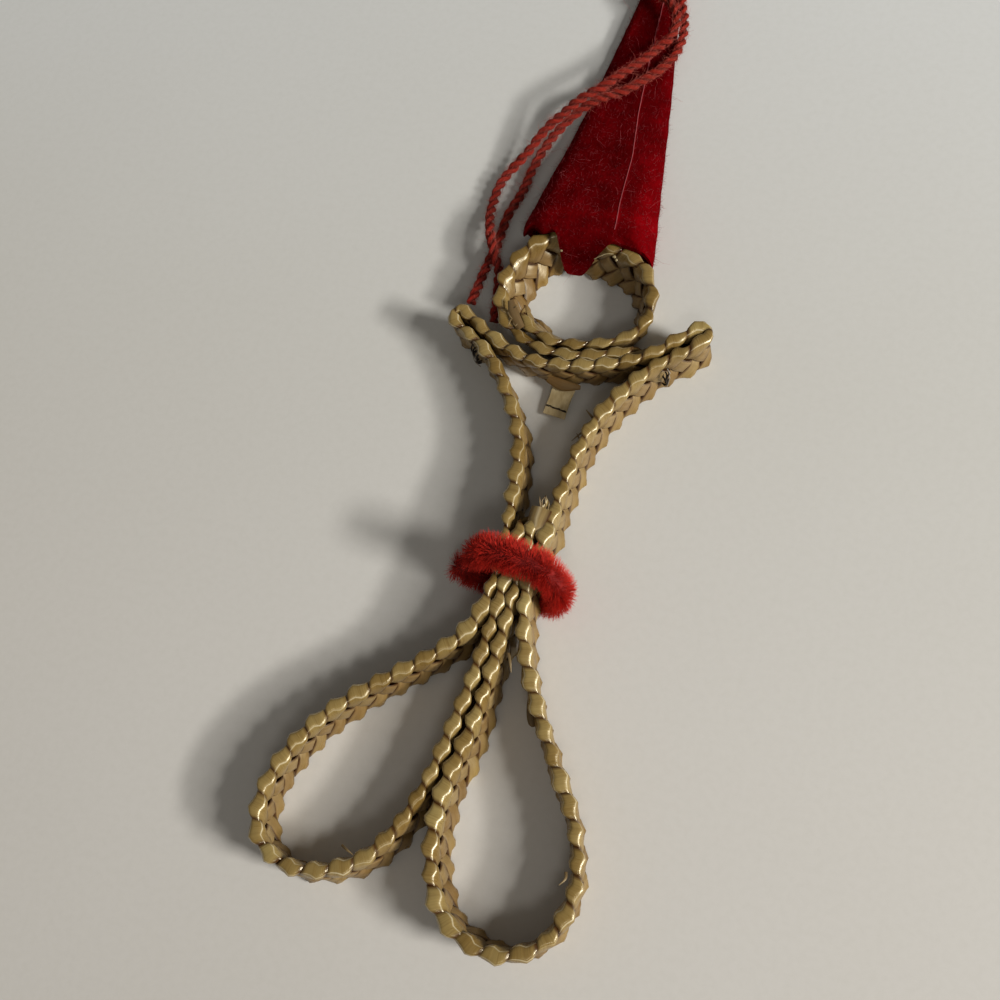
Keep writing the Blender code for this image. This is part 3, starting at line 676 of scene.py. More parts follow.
def straw_course(t, x, b, amplitude, fat):
    """(v, u) of a straw's middle at t along its course: v across the plait, u up its width."""
    half = np.floor(t / HALF_COURSE)
    sign = np.where(half % 2 == 0, 1.0, -1.0)
    q = t - half * HALF_COURSE  # 0 at a fold, HALF_COURSE at the next
    rise = NOSE + np.clip(q - NOSE_TURN, 0, RISE - 2 * NOSE)
    shifted = q + b / 2
    cell = HALF_COURSE / 4
    under, over = (ease((shifted - k * cell) / TURN_LENGTH / 2 + 0.5) for k in (1.5, 2.5))
    layer = 1 - 2 * (under - over)
    rim = ease((np.abs(rise - RISE / 2) - (RISE / 2 - 2.4)) / 1.9)
    out = np.interp(x * sign * layer, *zip(*CREST))
    swell = amplitude * (1.0 + rim * (fat + out / 0.6))
    v = layer * swell
    for near, top in ((q, False), (HALF_COURSE - q, True)):
        inside = near < NOSE_TURN
        lean = np.clip(near / NOSE, 0, math.pi / 2)
        v = np.where(inside, swell * np.sin(lean) ** BOXY, v)
        low = NOSE * (1 - np.cos(lean) ** BOXY)
        rise = np.where(inside, RISE - low if top else low, rise)
    u = np.where(sign > 0, rise, RISE - rise)
    end = np.sign(u - RISE / 2)
    sag = (0.10 * fat + 0.09 * x - 0.07 * x**2) * ease((np.abs(u - RISE / 2) - 2.2) / 1.2)
    swing = CREST_SWING * np.interp(x, *zip(*CREST_SIDE))
    swing = swing * ease((np.abs(u - RISE / 2) - (RISE / 2 - 1.0)) / 0.9)
    return sign * v + swing, u + (PLAIT_WIDTH - RISE) / 2 + sag * end


def advance(t):
    """How far along the plait a straw has come at t: it moves less while it folds over a rim."""
    half = np.floor(t / HALF_COURSE)
    q = t - half * HALF_COURSE
    slow = NOSE_ADVANCE
    straight = HALF_COURSE - 2 * NOSE_TURN
    fast = (2 * PITCH - 2 * NOSE_TURN * slow) / straight
    come = np.minimum(q, NOSE_TURN) * slow + np.clip(q - NOSE_TURN, 0, straight) * fast
    return half * 2 * PITCH + come + np.maximum(q - (HALF_COURSE - NOSE_TURN), 0) * slow


def course_steps(length):
    """Where along its course a straw is drawn, for a plait this long."""
    straight = np.linspace(NOSE_TURN, HALF_COURSE - NOSE_TURN, STRAIGHT_STEPS)
    fold = NOSE_ANGLES * NOSE
    one = np.concatenate([fold, straight, HALF_COURSE - fold[:0:-1]])
    halves = np.arange(-3, math.ceil(length / PITCH / 2) + 3)
    return (halves[:, None] * HALF_COURSE + one).ravel()


def add_straw(gathered, plait, index, seed):
    jitter = draw.uniform(-0.5, 0.9, 2)
    reach = course_steps(plait.length)
    s_middle = advance(reach) + index * PITCH
    t = reach[(s_middle > END_GAP + jitter[0]) & (s_middle < plait.length - END_GAP - jitter[1])]
    x = np.broadcast_to(RING_X[None, :], (len(t), len(RING_X)))
    wide = STRAW_WIDTH * (1 + 0.10 * wander(t, 0.12, seed))
    b = x * wide[:, None] / 2
    s = advance(t)[:, None] + index * PITCH + b
    middle, across, up, thick = plait.frame(s)
    fold = np.round(t / HALF_COURSE)
    seeds = [int(f) * 31 + seed * 977 for f in fold]
    fold_random = np.array([random.Random(value).uniform(-1, 1) for value in seeds])[:, None]
    near_fold = (1 - np.abs(t / HALF_COURSE - fold) * 2)[:, None]
    amplitude = thick / 2 - STRAW_HALF + 0.06 + 0.05 * wander(t, 0.2, seed + 5)[:, None]
    tt = np.broadcast_to(t[:, None], s.shape)
    fat = 0.22 * fold_random
    v0, u0 = straw_course(tt - 0.02, x, b, amplitude, fat)
    v1, u1 = straw_course(tt + 0.02, x, b, amplitude, fat)
    dv, du = v1 - v0, u1 - u0
    size = np.hypot(dv, du) + 1e-9
    nv, nu = du / size, -dv / size
    body = STRAW_HALF * np.sqrt(np.clip(1 - x**6, 0, None))
    ridge = RIDGE * np.array([wander(t, 0.25, seed + 11 + k) for k in range(len(RING_X))]).T
    out = -STRAW_CURL * x**2 + RING_SIDE * (body + ridge)
    v, u = straw_course(tt, x, b, amplitude, fat)
    v = v + out * nv
    u = u + out * nu
    points = middle + across * (HAND * v)[..., None] + up * (u - PLAIT_WIDTH / 2)[..., None]
    base, faces = tube_of(points)
    tone = 0.5 + 0.28 * wander(t, 0.035, seed + 31)[:, None] + 0.20 * fold_random * near_fold
    tone = np.broadcast_to(tone + draw.uniform(-0.16, 0.16), s.shape)
    # Darker towards each straw's edges: partly stain, partly painted shade where straws overlap.
    stain_and_edge_shade = ease((np.abs(x) - 0.76) / 0.2)
    # The crease mask: a band along each fold's corner, where a pale highlight is painted.
    q = np.abs(t - fold * HALF_COURSE) / NOSE
    crease = np.exp(-(((q - math.pi / 4) / 0.13) ** 2))[:, None]
    crease = crease * (1 - 0.5 * x**4) * (0.75 + 0.25 * fold_random)
    tones = np.stack([tone, stain_and_edge_shade, np.broadcast_to(near_fold, s.shape), crease], -1).reshape(-1, 4)
    uv = np.stack([tt, b], -1).reshape(-1, 2) + (0.0, seed * 13.0)
    gathered.add(base, faces, uv, tones)


def add_core(gathered, plait, seed):
    """The straws' hidden crossings, as a thin band inside the plait that closes its small gaps; it is
    painted dark, as shade in them.
    """
    s = np.arange(1.0, plait.length - 1.0, 0.9)
    middle, across, up, _ = plait.frame(s)
    half = PLAIT_WIDTH / 2 - CORE_INSET
    corners = [(v * CORE_HALF, u * half) for v, u in ((-1, -1), (1, -1), (1, 1), (-1, 1))]
    rings = np.stack([middle + across * v + up * u for v, u in corners], 1)
    base, faces = tube_of(rings)
    uv = np.stack(np.broadcast_arrays(s[:, None], np.array([-1.0, -1.0, 1.0, 1.0])[None, :]), -1)
    # The dark edge tone all over: painted shade in the gaps that the band closes.
    tones = np.tile([0.30, 0.9, 0.5, 0.0], (len(base), 1))
    gathered.add(base, faces, uv.reshape(-1, 2) + (0.0, seed * 13.0), tones)


RIBBON_SIDES = 10


def add_ribbon(gathered, places, widths, facing, seed, thickness=0.16, tone=0.3):
    """A loose straw: a flat strip along places, facing one way."""
    places = np.array(places, float)
    line = smooth_line(np.column_stack([places, widths]), 0.25)
    ahead = unit(np.gradient(line[:, :3], axis=0))
    side = unit(np.cross(ahead, np.array(facing, float)))
    out = np.cross(side, ahead)
    angle = circle(RIBBON_SIDES)
    flat = np.cos(angle)[None, :, None] * side[:, None, :] * line[:, 3][:, None, None] / 2
    bulge = np.sin(angle)[None, :, None] * out[:, None, :] * thickness
    rings = line[:, None, :3] + flat + bulge
    base, faces = tube_of(rings)
    along = lengths_along(line[:, :3])
    uv = np.stack(np.broadcast_arrays(along[:, None], np.cos(angle)[None, :]), -1).reshape(-1, 2)
    # Loose straws carry part of the darker edge tone all over.
    tones = np.tile([tone, 0.45, 0.3, 0.0], (len(base), 1))
    gathered.add(base, faces, uv + (seed * 5.0, seed * 11.0), tones)


def straw_plaits(straw):
    rows = []
    for thickness, lean, places in BODY_ROUTE:
        rows += [(*place, thickness, *lean) for place in places]
    body = Plait(rows, True)
    gathered = Gathered()
    for index in range(STRAWS):
        add_straw(gathered, body, index, index + 1)
    add_core(gathered, body, 9)
    add_loose_ends(gathered)
    body_piece = gathered.piece("body_straws", straw, "straw")

    rows = []
    for thickness, places in FACE_ROUTE:
        for place in places:
            lean = np.array(LEAN) + FACE_FLARE * unit(np.array(place) - FACE_CENTRE)
            rows.append((*place, thickness, *lean))
    face = Plait(rows, False)
    gathered = Gathered()
    for index in range(STRAWS):
        add_straw(gathered, face, index, index + 21)
    add_core(gathered, face, 29)
    face_piece = gathered.piece("face_straws", straw, "straw")
    return body_piece, face_piece


def add_loose_ends(gathered):
    """The folded cut end above the waist, with a crease down its middle, and the loose straws."""
    places, widths = zip(*STUB)
    line = smooth_line(np.column_stack([places, widths]), 0.2)
    ahead = unit(np.gradient(line[:, :3], axis=0))
    side = unit(np.cross(ahead, [0.0, 0.0, 1.0]))
    up = np.cross(side, ahead)
    share, height = np.array(STUB_PROFILE).T
    along = lengths_along(line[:, :3])
    zigzag = 0.16 * np.interp(along, (0.0, 0.9, 1.7, 2.6, 4.5), (-3.0, -1.6, 1.0, -0.6, -1.4))
    sideways = (share[None, :] + zigzag[:, None] * (1 - np.abs(share[None, :]))) * line[:, 3:4] / 2
    rings = line[:, None, :3] + side[:, None] * sideways[..., None]
    points, faces = tube_of(rings + up[:, None] * height[None, :, None])
    flat = np.broadcast_to(share, sideways.shape)
    # A painted highlight down the crease, and the darker edge tone (partly stain, partly painted shade)
    # at the two edges.
    crease = np.exp(-(((flat - 0.01) / 0.055) ** 2)) * 0.9
    even, edge = np.ones_like(flat), (np.abs(flat) > 0.9) * 0.9
    tones = np.stack([even * 0.42, edge, even * 0.6, crease], -1)
    uv = np.stack([np.broadcast_to(along[:, None], flat.shape), sideways], -1).reshape(-1, 2)
    gathered.add(points, faces, uv + (3.0, 71.0), tones.reshape(-1, 4))
    add_ribbon(gathered, BAND_PATCH, (1.3, 1.7, 0.7), (0.0, -0.5, 1.0), 39, 0.18, 0.3)
    add_ribbon(gathered, LAP_PATCH, (1.0, 1.5, 1.2), (0.0, -0.2, 1.0), 38, 0.16, 0.3)
    # The spur takes the darkest straw tone: painted shade, as it lies in shadow beside the right leg.
    add_ribbon(gathered, *zip(*SPUR), (0.2, 0.0, 1.0), 37, 0.16, 0.0)
    for k, (*places, width) in enumerate(SLIVERS):
        widths = (width, width * 0.9, width * 0.3)
        add_ribbon(gathered, places, widths, (0.2, -0.1, 1.0), 40 + k, 0.07, 0.7)


# ---------------------------------------------------------------- fibres

TABLE_EASE = 0.3  # below this height a fibre is bent up, so that it stays above the table
PILE_FIBRES, PILE_RADIUS = 13200, 0.033
BURST_PITCH = 4.6  # between the tufts into which the pile gathers
PILE_CORE_SIDES, PILE_CORE_STEPS = 14, 90
PILE_CORE_SHARE = 0.5  # of the pile's reach
YARN_FIBRES, YARN_FIBRE_RADIUS = 8000, 0.018
HAT_SHORT_FIBRES, HAT_LONG_FIBRES, HAT_FIBRE_RADIUS = 7500, 110, 0.015


def fibres(roots, directions, lengths, radius, bend, tone_root, tone_tip, taper=0.35):
    """Points, faces and tones of thin closed fibres, each with one bend in its middle."""
    count = len(roots)
    directions = unit(directions)
    e1, e2 = cross_axes(directions, 0.9)
    length = np.asarray(lengths)[:, None]
    rows = []
    tones = []
    for share, thin in ((0.0, 1.0), (0.55, 0.8), (1.0, taper)):
        centre = roots + directions * length * share + bend * length * share**2
        for k in range(3):
            angle = 2 * math.pi * k / 3
            rows.append(centre + (e1 * math.cos(angle) + e2 * math.sin(angle)) * radius * thin)
            tones.append(np.full(count, tone_root + (tone_tip - tone_root) * share))
    points = np.stack(rows, 1).reshape(-1, 3)
    low = np.minimum(points[:, 2], TABLE_EASE)
    points[:, 2] += TABLE_EASE * np.exp(low / TABLE_EASE - 1) - low
    tone = np.stack(tones, 1).reshape(-1)
    base = (np.arange(count) * 9)[:, None]
    tris = [(0, 2, 1), (6, 7, 8)]
    for level in (0, 3):
        for k in range(3):
            after = (k + 1) % 3
            tris.append((level + k, level + after, level + 3 + after))
            tris.append((level + k, level + 3 + after, level + 3 + k))
    faces = (base[:, None, :] + np.array(tris)[None]).reshape(-1, 3)
    return points, faces, np.column_stack([tone, tone])


def chenille_axes(centre):
    """The way ahead along the stem, and the two ways across it."""
    ahead = unit(np.gradient(centre, axis=0))
    side = np.tile([0.0, 1.0, 0.0], (len(centre), 1))
    return ahead, side, unit(np.cross(side, ahead))


def main_chenille(red):
    rows = [(place[0], place[2], place[1], wide, thick) for place, wide, thick in CHENILLE_ROUTE]
    line = smooth_line(rows, 0.2)
    centre = line[:, [0, 2, 1]]
    ahead, side, out = chenille_axes(centre)
    along = lengths_along(centre)
    count = PILE_FIBRES
    s = draw.uniform(0.0, along[-1], count)
    bursts = np.arange(0.6, along[-1] + 3.0, BURST_PITCH)
    bursts = bursts + draw.uniform(-0.6, 0.6, len(bursts))
    from_burst = s - bursts[np.abs(s[:, None] - bursts).argmin(1)]
    columns = np.column_stack([centre, side, out, ahead, line[:, 3:5]])
    at = sample(s, along, columns)
    angle = draw.uniform(0, 2 * math.pi, count)
    reach = (
        at[:, 3:6] * (np.sin(angle) * at[:, 12])[:, None]
        + at[:, 6:9] * (np.cos(angle) * at[:, 13])[:, None]
    )
    ends = np.clip((0.8 - np.minimum(s, along[-1] - s)) / 0.8, 0, 1)
    way = np.where(s < along[-1] / 2, -1.0, 1.0)
    tilt = ends * draw.uniform(0.2, 1.25, count)
    axial = np.sin(tilt) * way * 1.3 + (1 - ends) * from_burst * 0.5
    axial = axial + draw.normal(0, 0.3, count)
    target = reach * np.cos(tilt)[:, None] + at[:, 9:12] * axial[:, None]
    target = target * draw.uniform(0.80, 1.05, count)[:, None]
    roots = at[:, :3] + reach * 0.10
    vectors = target - reach * 0.10
    lengths = np.linalg.norm(vectors, axis=1)
    bend = draw.normal(0, 0.06, (count, 3))
    # Lighter tips: painted light; the roots start dark, as painted shade.
    tips = draw.uniform(0.55, 1.1, count)
    pile = fibres(roots, vectors, lengths, PILE_RADIUS, bend, 0.0, tips, 0.45)
    core = []
    at = sample(np.linspace(0.3, along[-1] - 0.3, PILE_CORE_STEPS), along, columns)
    for k in range(PILE_CORE_SIDES):
        angle = 2 * math.pi * k / PILE_CORE_SIDES
        core.append(
            at[:, :3]
            + at[:, 3:6] * (math.sin(angle) * at[:, 12] * PILE_CORE_SHARE)[:, None]
            + at[:, 6:9] * (math.cos(angle) * at[:, 13] * PILE_CORE_SHARE)[:, None]
        )
    # The pile's inner body is given a dark tone: painted shade inside the pile.
    points, faces, tones = with_body(pile, *tube_of(np.stack(core, 1)), 0.16)
    return make_piece("chenille_pile", points, faces, red, tone=tones)


# ---------------------------------------------------------------- yarn

PLY_RADIUS = 0.46
PLY_OFFSET = 0.34
PLY_TURN = 3.5  # length of one turn
PLY_SIDES = 10
YARN_STEP = 0.22  # between the places where the plies are drawn


def yarn_line():
    fine = smooth_line(YARN_ROUTE, 0.1)
    along = lengths_along(fine)
    even = np.arange(0.0, along[-1], YARN_STEP)
    return sample(even, along, fine), even, along[-1]


def yarn_pieces(red, hair):
    line, along, total = yarn_line()
    ahead = unit(np.gradient(line, axis=0))
    e1 = np.zeros_like(line)
    e1[0] = unit(np.cross(ahead[0], [0.0, 0.0, 1.0]))
    for i in range(1, len(line)):
        flat = e1[i - 1] - ahead[i] * (e1[i - 1] @ ahead[i])
        e1[i] = flat / np.linalg.norm(flat)
    e2 = np.cross(ahead, e1)
    gathered = Gathered()
    twist = 2 * math.pi * along / PLY_TURN + 0.9 * wander(along, 0.12, 3)
    for ply in (0, 1):
        angle = twist + math.pi * ply
        outwards = e1 * np.cos(angle)[:, None] + e2 * np.sin(angle)[:, None]
        sideways = np.cross(ahead, outwards)
        radius = PLY_RADIUS * (1 + 0.13 * wander(along, 0.8, 7 + ply))
        rings = []
        grooves = []
        for k in range(PLY_SIDES):
            turn = 2 * math.pi * k / PLY_SIDES
            out = outwards * (math.cos(turn) * radius)[:, None]
            side = sideways * (math.sin(turn) * radius)[:, None]
            rings.append(line + outwards * PLY_OFFSET + out + side)
            grooves.append(np.full(len(line), (1 - math.cos(turn)) / 2))
        points, faces = tube_of(np.stack(rings, 1))
        around = np.arange(PLY_SIDES) / PLY_SIDES * 2 * math.pi * PLY_RADIUS
        around = np.broadcast_to(around, (len(line), PLY_SIDES))
        twisted = around + along[:, None] * 0.9 + ply * 9
        uv = np.stack([np.broadcast_to(along[:, None], around.shape), twisted], -1)
        # Painted shade: each ply darkest on its side towards the other ply.
        painted_groove_shade = np.stack(grooves, 1).reshape(-1) ** 1.5
        gathered.add(points, faces, uv.reshape(-1, 2), np.column_stack([painted_groove_shade, painted_groove_shade]))
    yarn = gathered.piece("yarn", red, "ply", 80)
    count = YARN_FIBRES
    s = draw.uniform(0, along[-1], count)
    columns = np.column_stack([line, ahead, e1, e2])
    at = sample(s, along, columns)
    angle = draw.uniform(0, 2 * math.pi, count)
    radial = at[:, 6:9] * np.cos(angle)[:, None] + at[:, 9:12] * np.sin(angle)[:, None]
    roots = at[:, :3] + radial * draw.uniform(0.5, 0.76, count)[:, None]
    vectors = radial * draw.uniform(0.05, 0.6, count)[:, None]
    vectors = vectors + at[:, 3:6] * draw.normal(0, 1.0, count)[:, None]
    lengths = draw.gamma(2.5, 0.16, count) + 0.25
    bend = draw.normal(0, 0.35, (count, 3)) - radial * 0.2
    # Lighter tips: painted light on the fringe.
    tips = draw.uniform(0.3, 1.0, count)
    points, faces, tone = fibres(roots, vectors, lengths, YARN_FIBRE_RADIUS, bend, 0.1, tips)
    fuzz = make_piece("yarn_fuzz", points, faces, hair, tone=tone)
    path = [Vector((place - MIDDLE) * MM) for place in (*line[::5], line[-1])]
    return yarn, fuzz, path, total * MM


# ---------------------------------------------------------------- hat

SEAM = (  # y and x of places on the seam, from the base up; they come from the photo
    (22.0, 5.6), (25.0, 5.4), (28.5, 5.0), (39.2, 4.4), (47.4, 3.3), (55.9, 2.8), (65.6, 2.5),
    (80.0, 2.3),
)
SEAM_STEP = 0.32  # the lap's height
SEAM_RADIUS = 0.075
SEAM_SIDES = 6
FRONT_LEFT, FRONT_RIGHT, BACK = 46, 30, 40  # columns on each part of the hat
RULING, LIP = 84, 34  # rows from the tip to the base, and on over the rim
LEAST_REACH = 0.25  # over the rim
LEAST_HEIGHT = 0.02  # of the felt above the table
# HAT_FOLD_Y places the lighter band painted across the hat: painted light on the fold.
HAT_FOLD_Y = 25.2  # of the soft fold across the hat, just above the face


def crown_walls():
    rim = smooth_line([place for _, places in FACE_ROUTE for place in places], 0.5)
    rim = rim[rim[:, 1] > 14.5][::-1]
    ahead = unit(np.gradient(rim, axis=0))
    outwards = np.stack([-ahead[:, 1], ahead[:, 0]], axis=1)
    foot = rim - np.array(LEAN) - FACE_FLARE * unit(rim - FACE_CENTRE)
    return {
        (side, top): line + side * outwards * (FREE / 2 + FIT_GAP)
        for side in (1, -1)
        for top, line in ((False, foot), (True, rim))
    }


class HatShape:
    """The hat's outer and inner surfaces by share across it and place along it."""

    def __init__(self):
        self.walls = crown_walls()

    def wall(self, x, side, z):
        low, high = (np.interp(x, *self.walls[side, top].T) for top in (False, True))
        return low + (high - low) * z / PLAIT_WIDTH

    def outer(self, x, z):
        return max(self.wall(x, 1, z), HAT_CORNER_Y[int(x > FACE_CENTRE[0])])

    def column(self, share, front):
        """Rows of (outer, inner) points from the tip to the base, and on over the rim in front."""
        bend = max(0.0, (abs(share) - HAT_FLAT_SHARE) / (1 - HAT_FLAT_SHARE))
        round_off = math.sqrt(max(0.0, 1 - bend * bend))
        felt = FELT_THICKNESS

        def span(height):
            """The top and the underside of the cone where it is this high in its middle."""
            return height * (HAT_FOLD + (1 - HAT_FOLD) * round_off), height * HAT_FOLD * (1 - round_off)

        rows = []
        base_x = HAT_MIDDLE_X[0] + HAT_HALF_WIDTHS[0] * share
        for k in range(RULING):
            part = k / (RULING - 1)
            part = 1 - (1 - part) ** 1.15
            top, low = span(np.interp(1 - part, *zip(*HAT_PROFILE)))
            middle = (top + low) / 2
            wall = min(felt, (top - low) / 2 * 0.86)
            tip_x = HAT_MIDDLE_X[1] + HAT_HALF_WIDTHS[1] * share
            x = tip_x + (base_x - tip_x) * part
            half = HAT_HALF_WIDTHS[1] + (HAT_HALF_WIDTHS[0] - HAT_HALF_WIDTHS[1]) * part
            centre = HAT_MIDDLE_X[1] + (HAT_MIDDLE_X[0] - HAT_MIDDLE_X[1]) * part
            inner_x = centre + (x - centre) * max(0.2, 1 - 0.9 * felt / half)
            end = self.outer(base_x, 6.8 if front else low) + (0.1 if front else 0.0)
            y = HAT_TIP_Y + (end - HAT_TIP_Y) * part * (1.0 if front else 0.985)
            if front:
                rows.append(((x, y, top), (inner_x, y, max(top - wall, middle + 0.05))))
            else:
                rows.append(((x, y, low), (inner_x, y, min(low + wall, middle - 0.05))))
        x = base_x
        top, low = span(HAT_PROFILE[0][1])
        if front:
            rim = (self.wall(x, 1, PLAIT_WIDTH) + self.wall(x, -1, PLAIT_WIDTH)) / 2
            over, high = PLAIT_WIDTH + FIT_GAP, PLAIT_WIDTH - 0.5
            shoulder = min(high, top - felt)
            under = [
                (x, self.outer(x, shoulder) - 0.02, min(shoulder + 0.3, top - felt)),
                (x, rim + 0.4, min(over, top - felt)),
                (x, rim - 0.4, over),
                (x, self.wall(x, -1, high), high),
                (x, self.wall(x, -1, 0.5), 0.5),
            ]
            upper = [
                (x, self.outer(x, shoulder) + 0.08, top),
                (x, rim + 0.4, top),
                (x, rim - 0.5, over + felt),
                (x, self.wall(x, -1, high) - felt, high),
                (x, self.wall(x, -1, 0.5) - felt, 0.5),
            ]
            reach = max(LEAST_REACH, float(np.interp(x, *np.array(HAT_REACH).T)))
            tuck = HAT_TUCK * max(0.0, 1 - reach / 2.2) * ease((9.3 - abs(x - 1.2)) / 3.0)
            for k in range(1, LIP + 1):
                place = reach * k / LIP
                drop = tuck * (k / LIP) ** 2
                pair = (
                    [float(np.interp(place, range(5), axis)) for axis in zip(*side)]
                    for side in (upper, under)
                )
                rows.append(tuple((px, py - 0.5 * drop, pz - drop) for px, py, pz in pair))
        else:
            start, start_in = rows[-1]
            end_y = self.outer(x, low)
            for k in range(1, LIP + 1):
                y = start[1] + (end_y - start[1]) * k / LIP
                rows.append(((x, y, start[2]), (start_in[0], y, start_in[2])))
        return rows


def hat_pieces(felt, hair):
    shape = HatShape()
    seam_y, seam_x = np.array(SEAM).T
    seam_share_base = (np.interp(22.0, seam_y, seam_x) - HAT_MIDDLE_X[0]) / HAT_HALF_WIDTHS[0]
    left = np.sin(np.linspace(-math.pi / 2, 0.55, FRONT_LEFT))
    left = (left - left[0]) / (left[-1] - left[0])
    left = -HAT_EDGE_SHARE + left * (seam_share_base + HAT_EDGE_SHARE)
    right = np.sin(np.linspace(-0.6, math.pi / 2, FRONT_RIGHT))
    right = (right - right[0]) / (right[-1] - right[0])
    right = seam_share_base + 0.004 + right * (HAT_EDGE_SHARE - seam_share_base - 0.004)
    back = np.sin(np.linspace(math.pi / 2, -math.pi / 2, BACK)) * HAT_EDGE_SHARE
    columns = [shape.column(share, True) for share in (*left, *right)]
    columns += [shape.column(share, False) for share in back]
    grid = np.array(columns)  # column, row, outer or inner, xyz
    outer, inner = grid[:, :, 0], grid[:, :, 1]
    front = FRONT_LEFT + FRONT_RIGHT
    # soften the folds and the creases along each column and round the cone
    for _ in range(3):
        for sheet in (outer, inner):
            sheet[:, 1:-1] = (sheet[:, :-2] + 2 * sheet[:, 1:-1] + sheet[:, 2:]) / 4
    for _ in range(2):
        for sheet in (outer, inner):
            sheet[:] = (np.roll(sheet, 1, 0) + 2 * sheet + np.roll(sheet, -1, 0)) / 4
    outer[..., 2] = np.maximum(outer[..., 2], LEAST_HEIGHT)
    # the seam wanders over the front, and the left edge laps over the right
    for row in range(grid.shape[1]):
        y = outer[FRONT_LEFT - 1, row, 1]
        line_x = float(np.interp(y, seam_y, seam_x))
        low, high = outer[0, row, 0], outer[front - 1, row, 0]
        middle = outer[FRONT_LEFT - 1, row, 0]
        for sheet in (outer, inner):
            x = sheet[:front, row, 0]
            shift = np.where(
                x <= middle,
                (x - low) / max(middle - low, 1e-6),
                (high - x) / max(high - middle, 1e-6),
            )
            sheet[:front, row, 0] = x + (line_x - middle) * np.clip(shift, 0, 1)
        fade = ease((outer[:FRONT_LEFT, row, 0] - line_x + 3.5) / 3.3)
        lap = SEAM_STEP * fade * ease((row - 2) / 8) * ease((RULING + LIP * 0.5 - row) / 10)
        outer[:FRONT_LEFT, row, 2] += lap
    count, rows = outer.shape[:2]
    lumps = np.zeros((count, rows))
    for i in range(count):
        for j in range(rows):
            p = Vector(outer[i, j])
            broad, middling = 0.10 * noise.noise(p * 0.35), 0.05 * noise.noise(p * 1.3)
            lumps[i, j] = broad + middling + 0.02 * noise.noise(p * 4.0)
    lumps[:, 0] = 0
    du = np.roll(outer, -1, 0) - np.roll(outer, 1, 0)
    dv = np.gradient(outer, axis=1)
    normal = np.cross(du, dv)
    normal /= np.linalg.norm(normal, axis=-1, keepdims=True) + 1e-9
    if normal[FRONT_LEFT // 2, RULING // 2, 2] < 0:
        normal = -normal
    outer = outer + normal * lumps[..., None]
    outer[..., 2] = np.maximum(outer[..., 2], LEAST_HEIGHT)
    loop = np.concatenate([outer, inner[:, ::-1]], axis=1)
    sides = loop.shape[1]
    i, j = np.meshgrid(np.arange(count), np.arange(sides), indexing="ij")
    a = i * sides + j
    b = i * sides + (j + 1) % sides
    c = ((i + 1) % count) * sides + (j + 1) % sides
    d = ((i + 1) % count) * sides + j
    quads = np.stack([a, b, c, d], -1).reshape(-1, 4)
    points = loop.reshape(-1, 3)
    if signed_volume(points, quads) < 0:
        quads = quads[:, ::-1]
    x, y = loop[..., 0], loop[..., 1]
    # Painted light: lighter right of the seam near the base, where the felt slopes towards the light, and
    # along a band on the fold above the face.
    painted_light_right = ease((x - np.interp(y, seam_y, seam_x) - 0.6) / 3.0) * ease((46 - y) / 14)
    fold = np.exp(-(((y - HAT_FOLD_Y - 0.12 * x) / 1.1) ** 2)) * 0.8
    bright = np.clip(painted_light_right * 0.55 + fold * 0.8, 0, 1).reshape(-1)
    tones = np.stack([bright, bright], -1)
    hat = make_piece("felt_hat", points, quads.tolist(), felt, tone=tones, sharp=75)
    # fuzz on the outside
    patch = np.linalg.norm(np.cross(du, dv), axis=-1)[:, 3:-1]
    chances = (patch / patch.sum()).ravel()
    short, long = HAT_SHORT_FIBRES, HAT_LONG_FIBRES
    picked = draw.choice(len(chances), short + long, p=chances)
    ci, rj = np.divmod(picked, patch.shape[1])
    rj = rj + 3
    roots = outer[ci, rj] + draw.normal(0, 0.12, (len(ci), 3))
    lifted = normal[ci, rj]
    roots[:, 2] = np.maximum(roots[:, 2], 0.05)
    tangent = draw.normal(0, 1, (len(ci), 3))
    vectors = unit(lifted * draw.uniform(0.15, 0.9, len(ci))[:, None] + tangent * 0.6)
    vectors[:, 2] = np.where(roots[:, 2] < 0.6, np.abs(vectors[:, 2]), vectors[:, 2])
    lengths = np.concatenate([draw.uniform(0.25, 0.75, short), draw.uniform(1.2, 3.2, long)])
    vectors[short:] = unit(vectors[short:] - lifted[short:] * 0.25)
    bend = draw.normal(0, 0.35, (len(ci), 3))
    bend[short:] -= lifted[short:] * 0.15
    bend[:, 2] = np.where(roots[:, 2] < 1.2, np.abs(bend[:, 2]), bend[:, 2])
    # Lighter tips, most on the long hairs: painted light.
    tips = np.concatenate([draw.uniform(0.05, 0.5, short), draw.uniform(0.6, 1.0, long)])
    hairs = fibres(roots, vectors, lengths, HAT_FIBRE_RADIUS, bend, 0.05, tips)
    # a thin lighter tube along the seam: painted light on the lap's cut edge
    edge = (outer[FRONT_LEFT - 1] + normal[FRONT_LEFT - 1] * 0.03)[3 : RULING + 2]
    around = circle(SEAM_SIDES)[None, :, None]
    section = np.cos(around) * [1.0, 0.0, 0.0] + np.sin(around) * [0.0, 0.0, 1.0]
    points, faces, tone = with_body(hairs, *tube_of(edge[:, None] + SEAM_RADIUS * section), 0.34)
    fuzz = make_piece("hat_fuzz", points, faces, hair, tone=tone)
    return hat, fuzz


# ---------------------------------------------------------------- tab and ties


def on_tab(places):
    """Places on the level tab, turned and moved to where the tab lies."""
    turn = Matrix.Rotation(TAB_TURN, 3, "Z") @ Matrix.Rotation(TAB_SLOPE, 3, "X")
    return np.array([turn @ Vector(place) for place in places]) + np.array(TAB_PLACE)


